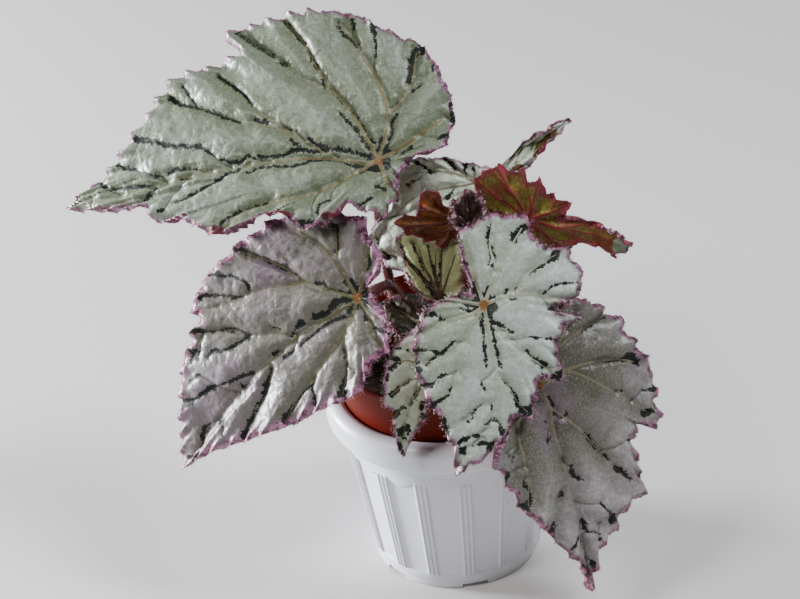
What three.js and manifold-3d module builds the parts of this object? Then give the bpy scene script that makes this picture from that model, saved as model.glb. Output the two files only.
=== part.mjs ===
// A rex begonia in a terracotta-coloured nursery pot, dropped into a white plastic cover pot.
// Millimetres, +Z up, the front towards -Y. The origin is the middle of the cover pot's flat
// underside, on the ground.

import * as THREE from 'three';
import { mergeVertices } from 'three/addons/utils/BufferGeometryUtils.js';
import Module from 'manifold-3d';

const wasm = await Module();
wasm.setup();

const GAP = 0.3;                     // what touching pieces keep between them
const ROUND = 60;                    // sides of the cover pot
const NURSERY_ROUND = 48;            // sides of the nursery pot and the soil

// Cover pot: heights and outer radii
const FOOT_R = 52;
const FOOT_H = 5;
const BODY_BASE_R = 52.6;
const BODY_TOP_R = 65;
const BODY_TOP = 93;
const COLLAR_R = 75;
const COLLAR_BASE = 104;
const COVER_TOP = 122;
const MOUTH_R = 64.4;
const COVER_WALL = 2.6;
const COVER_FLOOR = 3.5;
const RING_OUT = 1.8;                // the stepped ring under the collar, two steps of this size
const NOTCHES = 6;
const NOTCH = [16, 8, 3];            // notch in the foot: width, depth inwards, height
const FRONT_NOTCH = 8;               // compass of the notch nearest the front, degrees

// Cover pot: the ribs in threes and the flat panels between them
const PANELS = 15;
const FRONT_RIBS = 4;                // compass of the rib group nearest the front, degrees
const RIB_W = 1.5;
const RIB_PITCH = 2.8;
const RIB_OUT = 0.9;
const RIB_LOW = 11;
const RIB_HIGH = 88;
const PANEL_HALF = 8.6;              // half the angle that a panel takes, degrees
const PANEL_CUT = 0.45;

// Nursery pot
const NURSERY_TOP = 155.7;
const NURSERY_LIP_R = 73;
const NURSERY_LIP_H = 3;
const NURSERY_LIP_OUT = 1.2;         // how far the lip stands out of the wall
const NURSERY_FLOOR_Z = 22;
const NURSERY_BASE_R = 46;
const NURSERY_WALL = 1.4;
const DRAINS = 6;
const DRAIN_R = 4.5;
const DRAIN_RING = 31;               // radius of the ring that the drain holes stand on

// Soil and the creeping stem that lies half sunk in it
const SOIL_TOP = 145;
const SOIL_CROWN = 1.5;
const STEM_R = 9;
const STEM_Z = 148;
const STEM_LINE = [[-33, 14], [-20, 7], [-4, 3], [12, -2], [26, -12], [36, -16]];
const ROOT_RISE = 4.5;               // from the stem's axis to the floor of a stalk's hole
const ROOT_STRAIGHT = 8;             // how far a stalk rises straight out of its hole

// Blades and stalks
const BLADE = 1.0;                   // blade thickness
const HUB = 1.2;                     // how far the veins' meeting point stands out below
const HUB_DIP = 0.4;                 // and how far it dips on top
const VEIN_RIB = 0.9;                // depth of a main vein under the blade, at the joint
const TOOTH_STEP = 9;                // half the spacing of the teeth on a large leaf
const TOOTH = 0.12;                  // how far a tooth stands out or in, for each mm of that step
const FULL_SWELL = 60;               // from this reach on, domes and waves have their full height
const STALK_SIDES = 8;

const COLOURS = {
  silver: 0xaeb8ac,
  mauve: 0xa59aa3,
  mint: 0xb4c6b4,
  olive: 0x6f7044,
  brown: 0x74451f,
  red: 0x8c3b3e,
  dark: 0x4a2a26,
  stalk: 0x6e3a30,
  stem: 0x4b3522,
  soil: 0x1c1612,
  white: 0xe6e7ea,
  terracotta: 0xa8431d,
};

// One row for each leaf.
// at: where its stalk joins it. face: compass (0 = front, 90 = +X) and height of the way its
// upper side looks. tip: direction of its tip within that side, counted from its level line.
// bend: turn along the midrib over 100 mm, ahead of and behind the joint. fold: lift of both
// halves at the midrib. cup: turn across each half over 100 mm. roll: extra turn across near
// the tip, over 100 mm for every 50 mm past rollFrom.
// edge: the outline on the flat blade, [towards the tip, to the left], from the tip round to
// the left. A third number marks the end of a main vein and says how far that vein bows left.
// stalk: radius, root as the way along the creeping stem and to its left, and the points it
// passes.
const LEAVES = [
  {
    name: 'top_left', colour: 'silver', at: [-29, 2, 275], face: [-16, 50], tip: 187,
    bend: [-12, -14], fold: 5, cup: [-12, -10], wave: 2.0, dome: 2.2, rings: 5,
    edge: [[208, 0, -11], [175, 8], [146, 13], [138, 23], [122, 23], [99, 36, 4], [81, 34],
      [65, 28], [54, 29], [43, 39, 0], [29, 36], [17, 27], [7, 31, 0], [1, 34], [-5, 35],
      [-8, 29], [-12, 23, 0], [-11, 15], [-14, 6, 0], [-21, -1], [-37, -5, 0], [-43, -18],
      [-43, -34], [-35, -54, 0], [-25, -70], [-4, -81, -6], [16, -93], [32, -98], [56, -98, 0],
      [78, -96], [97, -89], [87, -78], [101, -73], [131, -66], [144, -56, 0], [159, -33],
      [179, -16]],
    stalk: { r: 3.2, root: [7, 2], via: [[-30, 23, 190], [-32, 23, 236]] },
  },
  {
    name: 'left', colour: 'mauve', at: [-48, -37, 209], face: [-24, 34], tip: -133,
    bend: [-14, -12], fold: 5, cup: [-12, -12], wave: 1.8, dome: 2.0, rings: 5,
    edge: [[164, 0, -4], [148, 5], [129, 11], [112, 18], [90, 27], [73, 33], [56, 37, 3],
      [41, 43], [28, 43], [16, 36, 2], [2, 36], [-6, 26, 0], [-8, 14], [-8, 0], [-17, -2, 0],
      [-26, -7], [-28, -23], [-32, -32, 0], [-24, -43], [-16, -52], [-3, -62, 0], [15, -70],
      [25, -71], [37, -73, 0], [52, -72], [69, -71], [89, -64, 2], [87, -57], [94, -53],
      [117, -44], [134, -26]],
    stalk: { r: 3, root: [16, -2], via: [[-21, -1, 174], [-30, -9, 198]] },
  },
  {
    name: 'front', colour: 'silver', at: [23, -66, 215], face: [6, 33], tip: 253,
    bend: [-13, -14], fold: 4, cup: [-12, -12], wave: 1.6, dome: 1.6, rings: 5,
    edge: [[96, 0, 8], [84, 15], [74, 21], [69, 25], [59, 29], [59, 37], [46, 37], [37, 38],
      [35, 50, 0], [25, 49], [15, 43], [9, 45], [-2, 55, 2], [-3, 38], [-15, 53], [-27, 51],
      [-38, 42], [-39, 25, 0], [-50, 18], [-53, 10], [-51, -2, 0], [-47, -11], [-36, -20, 0],
      [-29, -19], [-17, -13], [-8, -9], [-3, -15, 0], [1, -25], [8, -33], [27, -36, 0],
      [37, -34], [48, -29], [59, -22, 3], [65, -17], [73, -11], [81, -5]],
    stalk: { r: 2.8, root: [44, -3], via: [[15, -26, 178], [21, -48, 202]] },
  },
  {
    name: 'right_hanging', colour: 'mauve', at: [50, -78, 165], face: [26, 24], tip: 274,
    bend: [-14, -12], fold: 5, cup: [-14, -14], wave: 1.8, dome: 1.8, rings: 5,
    edge: [[137, 0, 1], [122, 5], [110, 13], [103, 25], [94, 30], [87, 45, 0], [73, 47],
      [58, 48], [47, 51], [54, 64], [32, 71, 3], [13, 71], [-1, 65, 0], [-17, 61], [-28, 52, 0],
      [-36, 43], [-40, 31], [-30, 10, 0], [-11, -7], [-1, -14, 0], [6, -23], [18, -34],
      [28, -44, 0], [33, -42], [50, -37], [62, -34, 2], [80, -24], [92, -18], [116, -6]],
    stalk: { r: 2.8, root: [61, -1.5], via: [[34, -34, 171], [43, -58, 172]] },
  },
  {
    name: 'small_front', colour: 'silver', at: [-9, -58, 193], face: [-8, 28], tip: -104,
    bend: [-20, -14], fold: 8, cup: [-25, -25], wave: 1.2, dome: 1.0, rings: 4,
    edge: [[76, 0, 0], [60, 4], [49, 9], [38, 7], [27, 10, 0], [15, 13], [3, 13, 0], [-8, 8],
      [-7, -1], [-1, -9, 0], [11, -18, 0], [20, -20], [44, -17, 0], [48, -12], [63, -7]],
    stalk: { r: 2, root: [36, -3.5], via: [[3, -18, 172], [-5, -43, 186]] },
  },
  {
    name: 'back', colour: 'mint', at: [32, 2, 250], face: [-15, 24], tip: 43,
    bend: [4, -10], fold: 0, cup: [-8, -12], roll: [1400, 15], wave: 1.6, dome: 1.4, rings: 5,
    edge: [[64, 0, 0], [62, 7], [52, 9], [38, 9], [26, 6], [14, 6], [5, 16], [-6, 30],
      [-19, 41, 0], [-32, 46], [-40, 40], [-48, 34, 0], [-58, 30], [-70, 28], [-77, 22, 8],
      [-77, 15], [-76, 5, 0], [-73, -6], [-71, -15], [-53, -14, 0], [-32, -8], [-12, -5],
      [4, -7, 0], [14, -5], [26, -6], [42, -9], [54, -10], [62, -7]],
    stalk: { r: 2.6, root: [46, 4], via: [[25, 13, 185], [32, 15, 228]] },
  },
  {
    name: 'right_upright', colour: 'red', at: [54, -18, 240], face: [175, 8], tip: 201,
    bend: [0, 0], fold: 0, cup: [8, 8], roll: [-2500, 38], wave: 1.4, dome: 1.4, rings: 5,
    edge: [[63, 0, 0], [61, 6], [54, 8], [45, 7], [36, 9], [26, 15, 0], [17, 25], [6, 31],
      [-6, 26, 0], [-19, 17], [-31, 1, 0], [-38, -18, 0], [-30, -31, 0], [-20, -28], [-13, -31],
      [-8, -25], [-3, -28, 0], [4, -22], [10, -20], [19, -16, 0], [21, -8], [35, -9], [45, -7],
      [55, -8], [61, -5]],
    stalk: { r: 2.4, root: [55, 3.5], via: [[32, -22, 188], [46, -33, 224]] },
  },
  {
    name: 'young_brown', colour: 'brown', at: [13, -22, 245], face: [-165, 6], tip: 9,
    bend: [8, 6], fold: 4, cup: [10, 10], wave: 1.2, dome: 1.0, rings: 4,
    edge: [[36, 0, 0], [34, 7], [26, 6], [25, 13, 0], [24, 19], [19, 22], [13, 20, 0], [11, 13],
      [6, 9, 0], [-3, 5], [-5, -5], [-4, -14, 0], [-2, -21], [8, -18, 0], [19, -12], [30, -7]],
    stalk: { r: 1.8, root: [38, 4], via: [[17, -12, 178], [20, -25, 215], [18, -32, 235]] },
  },
  {
    name: 'young_green', colour: 'olive', at: [-1, -28, 200], face: [-10, 26], tip: 103,
    bend: [4, 4], fold: -2, cup: [8, 8], wave: 1.0, dome: 1.0, rings: 4,
    edge: [[42, 0, 0], [42, 9], [36, 17, 0], [28, 16], [17, 16, 0], [6, 13], [-3, 7], [-5, 1],
      [-6, -8], [0, -15], [14, -19, 0], [26, -21], [34, -17, 0], [40, -10]],
    stalk: { r: 2, root: [29, -3], via: [[-4, -10, 175], [0, -18, 191]] },
  },
  {
    name: 'bud', colour: 'dark', at: [19, -33, 247], face: [20, 24], tip: -276,
    bend: [20, 20], fold: 10, cup: [60, 60], wave: 1.4, dome: 0.8, rings: 4,
    edge: [[21, 0, 0], [19, 7], [14, 12, 0], [7, 12], [0, 8, 0], [-5, 1], [-2, -6, 0], [6, -11],
      [15, -10, 0], [20, -6]],
    stalk: { r: 1.6, root: [51, -3.5], via: [[25, -14, 190], [26, -26, 228]] },
  },
  {
    name: 'crown', colour: 'olive', at: [-11, -30, 180], face: [-12, 58], tip: -214,
    bend: [-12, -6], fold: 4, cup: [-25, -25], wave: 0.8, dome: 0.8, rings: 3,
    edge: [[30, 0, 0], [23, 8], [14, 12], [5, 14, 0], [-4, 13], [-7, 4], [-4, -4], [5, -8],
      [14, -8, 0], [23, -6], [28, -4]],
    stalk: { r: 1.6, root: [23, -4], via: [[-10, -19, 162]] },
  },
];

const rad = THREE.MathUtils.degToRad;
const group = new THREE.Group();

function finish(colour, roughness) {
  return new THREE.MeshStandardMaterial({ color: COLOURS[colour], roughness, metalness: 0 });
}

function add(name, geometry, colour, roughness) {
  const mesh = new THREE.Mesh(geometry, finish(colour, roughness));
  mesh.name = name;
  group.add(mesh);
}

// Booleans

function solid(geometry) {
  const bare = geometry.clone();
  bare.deleteAttribute('normal');
  bare.deleteAttribute('uv');
  const merged = mergeVertices(bare, 1e-4);
  return new wasm.Manifold(new wasm.Mesh({
    numProp: 3,
    vertProperties: new Float32Array(merged.attributes.position.array),
    triVerts: new Uint32Array(merged.index.array),
  }));
}

function surface(manifold) {
  const mesh = manifold.getMesh();
  const geometry = new THREE.BufferGeometry();
  geometry.setAttribute('position', new THREE.BufferAttribute(mesh.vertProperties, 3));
  geometry.setIndex(new THREE.BufferAttribute(mesh.triVerts, 1));
  return geometry;
}

// A turned solid from [radius, height] points, from the axis at the bottom to the axis at the top
function turned(points, sides = ROUND) {
  const lathe = new THREE.LatheGeometry(points.map(([r, z]) => new THREE.Vector2(r, z)), sides);
  return lathe.rotateX(Math.PI / 2);
}

// A box with its middle at the given radius and height, turned to a compass degree
function blockAt(width, depth, height, radius, z, compass, lean = 0) {
  const block = new THREE.BoxGeometry(width, depth, height);
  block.rotateX(lean);
  block.translate(0, -radius, z);
  return block.rotateZ(rad(compass));
}

// Cover pot

const bodyLean = Math.atan2(BODY_TOP_R - BODY_BASE_R, BODY_TOP - FOOT_H);

function bodyRadius(z) {
  return BODY_BASE_R + (z - FOOT_H) * Math.tan(bodyLean);
}

function coverPot() {
  const inner = (z) => bodyRadius(z) - COVER_WALL;
  let pot = solid(turned([
    [0, 0], [FOOT_R, 0], [FOOT_R, FOOT_H], [BODY_BASE_R, FOOT_H + 1],
    [BODY_TOP_R, BODY_TOP], [BODY_TOP_R + RING_OUT, BODY_TOP + 1],
    [BODY_TOP_R + RING_OUT, BODY_TOP + 4], [BODY_TOP_R + 2 * RING_OUT, BODY_TOP + 5],
    [BODY_TOP_R + 2 * RING_OUT, COLLAR_BASE],
    [COLLAR_R - 1, COLLAR_BASE], [COLLAR_R, COLLAR_BASE + 2], [COLLAR_R, COVER_TOP - 5],
    [COLLAR_R - 3, COVER_TOP - 1], [MOUTH_R + 3, COVER_TOP], [MOUTH_R, COVER_TOP - 1],
    [inner(BODY_TOP), BODY_TOP], [inner(FOOT_H), COVER_FLOOR], [0, COVER_FLOOR],
  ]));
  const middle = (RIB_LOW + RIB_HIGH) / 2;
  const length = (RIB_HIGH - RIB_LOW) / Math.cos(bodyLean);
  const radius = bodyRadius(middle);
  const flat = radius * Math.cos(rad(PANEL_HALF)) - PANEL_CUT;
  const wide = 2 * radius * Math.sin(rad(PANEL_HALF));
  const cutter = 10;
  const sunk = 1;
  for (let i = 0; i < PANELS; i += 1) {
    const ribs = FRONT_RIBS + i * 360 / PANELS;
    const panel = ribs + 180 / PANELS;
    const cut = blockAt(wide, cutter, length, flat + cutter / 2, middle, panel, bodyLean);
    pot = pot.subtract(solid(cut));
    for (const side of [-1, 0, 1]) {
      const compass = ribs + THREE.MathUtils.radToDeg(side * RIB_PITCH / radius);
      const out = radius + (RIB_OUT - sunk) / 2;
      const rib = blockAt(RIB_W, RIB_OUT + sunk, length, out, middle, compass, bodyLean);
      pot = pot.add(solid(rib));
    }
  }
  for (let i = 0; i < NOTCHES; i += 1) {
    const compass = FRONT_NOTCH + i * 360 / NOTCHES;
    pot = pot.subtract(solid(blockAt(...NOTCH, FOOT_R, 0, compass)));
  }
  return surface(pot);
}

// Nursery pot: its cone wedges in the cover pot's mouth, and its lip stands above it

const facets = Math.cos(Math.PI / ROUND);
const seatR = MOUTH_R * facets - GAP;
const seatZ = COVER_TOP - 1;

function nurseryOuter(z) {
  const low = [NURSERY_BASE_R, NURSERY_FLOOR_Z];
  const high = [NURSERY_LIP_R - NURSERY_LIP_OUT, NURSERY_TOP - NURSERY_LIP_H];
  if (z < seatZ) {
    return low[0] + (seatR - low[0]) * (z - low[1]) / (seatZ - low[1]);
  }
  return seatR + (high[0] - seatR) * (z - seatZ) / (high[1] - seatZ);
}

function nurseryInner(z) {
  return nurseryOuter(z) - NURSERY_WALL;
}

function nurseryPot() {
  const shoulder = NURSERY_TOP - NURSERY_LIP_H;
  const floorTop = NURSERY_FLOOR_Z + NURSERY_WALL;
  const bevel = 0.8;
  let pot = solid(turned([
    [0, NURSERY_FLOOR_Z], [NURSERY_BASE_R, NURSERY_FLOOR_Z], [seatR, seatZ],
    [nurseryOuter(shoulder), shoulder], [NURSERY_LIP_R, shoulder],
    [NURSERY_LIP_R, NURSERY_TOP - bevel], [NURSERY_LIP_R - bevel, NURSERY_TOP],
    [nurseryInner(NURSERY_TOP), NURSERY_TOP],
    [nurseryInner(seatZ), seatZ], [nurseryInner(floorTop), floorTop], [0, floorTop],
  ], NURSERY_ROUND));
  for (let i = 0; i < DRAINS; i += 1) {
    const drain = new THREE.CylinderGeometry(DRAIN_R, DRAIN_R, 10, 10).rotateX(Math.PI / 2);
    const compass = rad(i * 360 / DRAINS);
    drain.translate(DRAIN_RING * Math.sin(compass), -DRAIN_RING * Math.cos(compass), NURSERY_FLOOR_Z);
    pot = pot.subtract(solid(drain));
  }
  return surface(pot);
}

// Creeping stem: a thick round stem that lies in a groove of the soil

function stemCurve() {
  return new THREE.CatmullRomCurve3(STEM_LINE.map(([x, y]) => new THREE.Vector3(x, y, STEM_Z)));
}

function tube(curve, radius, sides, steps) {
  const section = new THREE.Shape();
  for (let i = 0; i < sides; i += 1) {
    const turn = i / sides * 2 * Math.PI;
    const point = [radius * Math.cos(turn), radius * Math.sin(turn)];
    if (i === 0) {
      section.moveTo(...point);
    } else {
      section.lineTo(...point);
    }
  }
  section.closePath();
  return new THREE.ExtrudeGeometry(section, { steps, extrudePath: curve });
}

function ball(radius, point) {
  return new THREE.SphereGeometry(radius, 10, 6).translate(point.x, point.y, point.z);
}

function stemBody(extra) {
  const curve = stemCurve();
  const sides = 10;
  return solid(tube(curve, STEM_R + extra, sides, 10))
    .add(solid(ball(STEM_R + extra, curve.getPoint(0))))
    .add(solid(ball(STEM_R + extra, curve.getPoint(1))));
}

// Blade surface: a midrib that bends, and halves that turn away from it

function arc(slope, turn, run) {
  const rate = Math.abs(turn) < 1e-6 ? 1e-6 : turn;
  const end = slope + rate * run;
  return [(Math.sin(end) - Math.sin(slope)) / rate, (Math.cos(slope) - Math.cos(end)) / rate];
}

function bladeAxes(leaf) {
  const [compass, height] = leaf.face.map(rad);
  const normal = new THREE.Vector3(Math.sin(compass) * Math.cos(height),
    -Math.cos(compass) * Math.cos(height), Math.sin(height));
  const level = new THREE.Vector3(0, 0, 1).cross(normal).normalize();
  const uphill = normal.clone().cross(level);
  const turn = rad(leaf.tip);
  const along = level.clone().multiplyScalar(Math.cos(turn))
    .addScaledVector(uphill, Math.sin(turn));
  const left = level.clone().multiplyScalar(-Math.sin(turn))
    .addScaledVector(uphill, Math.cos(turn));
  return { normal, along, left, joint: new THREE.Vector3(...leaf.at) };
}

// The place in space of a point on the flat blade
function bladePoint(leaf, axes, a, b) {
  const bend = rad(a >= 0 ? leaf.bend[0] : leaf.bend[1]) / 100;
  const [rollRate, rollFrom] = leaf.roll ?? [0, 0];
  const cup = rad(b >= 0 ? leaf.cup[0] : leaf.cup[1]) / 100
    + rad(rollRate) / 100 * Math.max(0, a - rollFrom) / 50;
  const [run, rise] = arc(0, bend, a);
  const [out, lift] = arc(rad(leaf.fold), cup, Math.abs(b));
  const slope = bend * a;
  return axes.joint.clone()
    .addScaledVector(axes.along, run - Math.sin(slope) * lift)
    .addScaledVector(axes.normal, rise + Math.cos(slope) * lift)
    .addScaledVector(axes.left, Math.sign(b) * out);
}

function bladeNormal(leaf, axes, a, b) {
  const step = 0.5;
  const ahead = bladePoint(leaf, axes, a + step, b).sub(bladePoint(leaf, axes, a - step, b));
  const aside = bladePoint(leaf, axes, a, b + step).sub(bladePoint(leaf, axes, a, b - step));
  return ahead.cross(aside).normalize();
}

// Spokes from the joint to the edge: one at each main vein, and others between them that end
// at even steps along the edge
function bladeSpokes(leaf) {
  const points = leaf.edge.map(([a, b]) => new THREE.Vector3(a, b, 0));
  const curve = new THREE.CatmullRomCurve3(points, true, 'centripetal');
  const count = leaf.edge.length;
  const veins = leaf.edge.map((point, i) => [i, point[2]]).filter(([, bow]) => bow !== undefined);
  const step = Math.min(TOOTH_STEP, 1.1 * Math.sqrt(points[0].length()));
  const fine = 40;
  const spokes = [];
  veins.forEach(([from, bow], k) => {
    const last = k === veins.length - 1;
    const [next, nextBow] = last ? [count, veins[0][1]] : veins[k + 1];
    const trail = [];
    for (let i = 0; i <= fine; i += 1) {
      trail.push(curve.getPoint((from + (next - from) * i / fine) / count % 1));
    }
    const lengths = [0];
    for (let i = 1; i <= fine; i += 1) {
      lengths.push(lengths[i - 1] + trail[i].distanceTo(trail[i - 1]));
    }
    const parts = Math.max(2, 2 * Math.round(lengths[fine] / step / 2));
    for (let i = 0; i < parts; i += 1) {
      const want = lengths[fine] * i / parts;
      const j = Math.min(fine - 1, lengths.findLastIndex((length) => length <= want));
      const part = (want - lengths[j]) / (lengths[j + 1] - lengths[j]);
      const end = trail[j].clone().lerp(trail[j + 1], part);
      const way = i / parts;
      spokes.push({ end, way, tooth: i % 2 === 0, bow: bow + (nextBow - bow) * way });
    }
  });
  return { spokes, step };
}

// A blade: two faces split alike, with a toothed and waved edge, a dome between each two main
// veins, and a rib under each main vein
function bladeGeometry(leaf) {
  const axes = bladeAxes(leaf);
  const { spokes, step } = bladeSpokes(leaf);
  const rings = leaf.rings;
  const upper = [axes.joint.clone().addScaledVector(axes.normal, BLADE / 2 - HUB_DIP)];
  const lower = [axes.joint.clone().addScaledVector(axes.normal, -BLADE / 2 - HUB)];
  for (let ring = 1; ring <= rings; ring += 1) {
    const q = ring / rings;
    spokes.forEach((spoke, k) => {
      const reach = spoke.end.length();
      const tooth = ring === rings ? step * (spoke.tooth ? TOOTH : -TOOTH) / reach : 0;
      const bow = spoke.bow * 4 * q * (1 - q) / reach;
      const a = spoke.end.x * (q + tooth) - spoke.end.y * bow;
      const b = spoke.end.y * (q + tooth) + spoke.end.x * bow;
      const swell = Math.min(1, reach / FULL_SWELL);
      const dome = leaf.dome * swell * 4 * spoke.way * (1 - spoke.way) * Math.sin(Math.PI * q);
      const wave = leaf.wave * swell * q ** 3 * Math.sin(k * Math.PI / 3);
      const point = bladePoint(leaf, axes, a, b);
      const normal = bladeNormal(leaf, axes, a, b);
      const rib = spoke.way === 0 ? VEIN_RIB * (1 - q) : 0;
      upper.push(point.clone().addScaledVector(normal, dome + wave + BLADE / 2));
      lower.push(point.clone().addScaledVector(normal, dome + wave - BLADE / 2 - rib));
    });
  }
  const count = spokes.length;
  const all = upper.length;
  const faces = [];
  const place = (ring, k) => (ring === 0 ? 0 : 1 + (ring - 1) * count + k % count);
  const both = (i, j, k) => faces.push(i, j, k, all + i, all + k, all + j);
  for (let k = 0; k < count; k += 1) {
    both(0, place(1, k), place(1, k + 1));
    for (let ring = 1; ring < rings; ring += 1) {
      both(place(ring, k), place(ring + 1, k), place(ring + 1, k + 1));
      both(place(ring, k), place(ring + 1, k + 1), place(ring, k + 1));
    }
    const [i, j] = [place(rings, k), place(rings, k + 1)];
    faces.push(i, all + i, all + j, i, all + j, j);
  }
  const geometry = new THREE.BufferGeometry();
  geometry.setFromPoints([...upper, ...lower]);
  geometry.setIndex(faces);
  return geometry;
}

// Stalks: from the creeping stem to just under the blade, where they run straight at it

function stalkRoot(leaf) {
  const curve = stemCurve();
  const [along, left] = leaf.stalk.root;
  const way = along / curve.getLength();
  const side = new THREE.Vector3(0, 0, 1).cross(curve.getTangentAt(way));
  const root = curve.getPointAt(way).addScaledVector(side, left);
  return root.setZ(STEM_Z + ROOT_RISE);
}

function stalkCurve(leaf) {
  const axes = bladeAxes(leaf);
  const under = BLADE / 2 + HUB + GAP;
  const end = axes.joint.clone().addScaledVector(axes.normal, -under);
  const near = axes.joint.clone().addScaledVector(axes.normal, -under - 2 * leaf.stalk.r);
  const root = stalkRoot(leaf);
  const above = root.clone().setZ(root.z + ROOT_STRAIGHT);
  const via = leaf.stalk.via.map((point) => new THREE.Vector3(...point));
  return new THREE.CatmullRomCurve3([root, above, ...via, near, end], false, 'centripetal');
}

function stalkGeometry(leaf) {
  const curve = stalkCurve(leaf);
  const steps = Math.max(8, Math.round(curve.getLength() / 9));
  return tube(curve, leaf.stalk.r, STALK_SIDES, steps);
}

// Creeping stem with a plain round hole for each stalk

function creepingStem() {
  let stem = stemBody(0);
  for (const leaf of LEAVES) {
    const root = stalkRoot(leaf);
    const r = (leaf.stalk.r + GAP) / Math.cos(Math.PI / STALK_SIDES);
    const hole = new THREE.CylinderGeometry(r, r, STEM_R, STALK_SIDES).rotateX(Math.PI / 2);
    hole.translate(root.x, root.y, root.z - GAP + STEM_R / 2);
    stem = stem.subtract(solid(hole));
  }
  return surface(stem);
}

function soil() {
  const low = NURSERY_FLOOR_Z + NURSERY_WALL + GAP;
  const inside = (z) => nurseryInner(z) - GAP;
  const body = solid(turned([
    [0, low], [inside(low), low], [inside(seatZ), seatZ], [inside(SOIL_TOP), SOIL_TOP],
    [inside(SOIL_TOP) * 0.6, SOIL_TOP + SOIL_CROWN * 0.7], [0, SOIL_TOP + SOIL_CROWN],
  ], NURSERY_ROUND));
  return surface(body.subtract(stemBody(GAP)));
}

add('pot_cover', coverPot(), 'white', 0.35);
add('pot_nursery', nurseryPot(), 'terracotta', 0.5);
add('soil', soil(), 'soil', 0.95);
add('creeping_stem', creepingStem(), 'stem', 0.9);
for (const leaf of LEAVES) {
  add(`stalk_${leaf.name}`, stalkGeometry(leaf), 'stalk', 0.6);
  add(`leaf_${leaf.name}`, bladeGeometry(leaf), leaf.colour, 0.45);
}

export default group;
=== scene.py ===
import math
from dataclasses import dataclass, field

import bpy
import numpy as np
from mathutils import Matrix, Vector, noise
from mathutils.geometry import delaunay_2d_cdt
from mathutils.kdtree import KDTree


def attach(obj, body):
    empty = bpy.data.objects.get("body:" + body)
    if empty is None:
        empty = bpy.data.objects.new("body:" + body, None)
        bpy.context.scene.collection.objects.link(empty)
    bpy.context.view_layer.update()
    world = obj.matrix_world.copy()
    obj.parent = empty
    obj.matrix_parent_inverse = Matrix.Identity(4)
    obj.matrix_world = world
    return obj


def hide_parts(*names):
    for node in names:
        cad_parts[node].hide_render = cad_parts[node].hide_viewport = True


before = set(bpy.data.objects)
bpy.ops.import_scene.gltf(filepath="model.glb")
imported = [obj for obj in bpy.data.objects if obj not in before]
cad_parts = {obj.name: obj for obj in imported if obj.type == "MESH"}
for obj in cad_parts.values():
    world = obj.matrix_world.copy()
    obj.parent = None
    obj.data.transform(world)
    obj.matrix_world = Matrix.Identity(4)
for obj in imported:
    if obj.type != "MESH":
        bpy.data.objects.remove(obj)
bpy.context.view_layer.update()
MM = 0.001
FAR = 99.0                           # a distance in mm that stands for none

# Camera, fitted to the rims and the foot of the pot
IMAGE_W, IMAGE_H = 800, 599
CAMERA_HEIGHT = 32.4                 # degrees above the horizon
CAMERA_ROLL = -5.1
FOCAL_PX = 2352
CAMERA_REACH = 1500                  # mm
ORIGIN_PX = (458.7, 535.8)           # where the middle of the pot's underside falls
SENSOR = 36.0


def place_camera():
    height, roll = math.radians(CAMERA_HEIGHT), math.radians(CAMERA_ROLL)
    back = Vector((0, -math.cos(height), math.sin(height)))
    level, rise = Vector((1, 0, 0)), Vector((0, math.sin(height), math.cos(height)))
    right = math.cos(roll) * level + math.sin(roll) * rise
    up = math.cos(roll) * rise - math.sin(roll) * level
    aside = (ORIGIN_PX[0] - IMAGE_W / 2) / FOCAL_PX * CAMERA_REACH
    above = (IMAGE_H / 2 - ORIGIN_PX[1]) / FOCAL_PX * CAMERA_REACH
    place = (CAMERA_REACH * back - aside * right - above * up) * MM
    data = bpy.data.cameras.new("camera")
    data.sensor_width = SENSOR
    data.lens = SENSOR * FOCAL_PX / IMAGE_W
    data.clip_end = 20
    camera = bpy.data.objects.new("camera", data)
    bpy.context.scene.collection.objects.link(camera)
    camera.matrix_world = Matrix([
        [right.x, up.x, back.x, place.x], [right.y, up.y, back.y, place.y],
        [right.z, up.z, back.z, place.z], [0, 0, 0, 1]])
    bpy.context.scene.camera = camera


place_camera()


# Colours and nodes

def linear(code):
    """An sRGB hex colour as linear red, green, blue and alpha"""
    channels = [int(code[i:i + 2], 16) / 255 for i in (1, 3, 5)]
    return [c / 12.92 if c <= 0.04045 else ((c + 0.055) / 1.055) ** 2.4 for c in channels] + [1.0]


class Finish:
    """A material and the nodes that make it"""

    def __init__(self, name):
        self.material = bpy.data.materials.new(name)
        self.material.use_nodes = True
        self.tree = self.material.node_tree
        self.shader = self.tree.nodes["Principled BSDF"]

    def add(self, kind, inputs, out=0, **settings):
        """Adds a node with its settings, its values and its links, and gives one of its outputs"""
        made = self.tree.nodes.new("ShaderNode" + kind)
        for name, value in settings.items():
            setattr(made, name, value)
        self.feed(made, inputs)
        return made.outputs[out]

    def feed(self, made, inputs):
        for name, value in inputs.items():
            if isinstance(value, bpy.types.NodeSocket):
                self.tree.links.new(value, made.inputs[name])
            else:
                value = linear(value) if isinstance(value, str) else value
                made.inputs[name].default_value = value

    def paint(self, body, colour, where, full, none, most=1.0):
        """Lays a colour over a body: most of it where a value is full, nothing where it is none"""
        amount = self.add("MapRange", {"Value": where, "From Min": full, "From Max": none,
                                       "To Min": most, "To Max": 0.0},
                          interpolation_type="SMOOTHSTEP")
        return self.add("Mix", {0: amount, 6: body, 7: colour}, 2, data_type="RGBA")

    def finish(self, **inputs):
        self.feed(self.shader, {name.replace("_", " "): value for name, value in inputs.items()})
        return self.material


# Meshes

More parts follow.
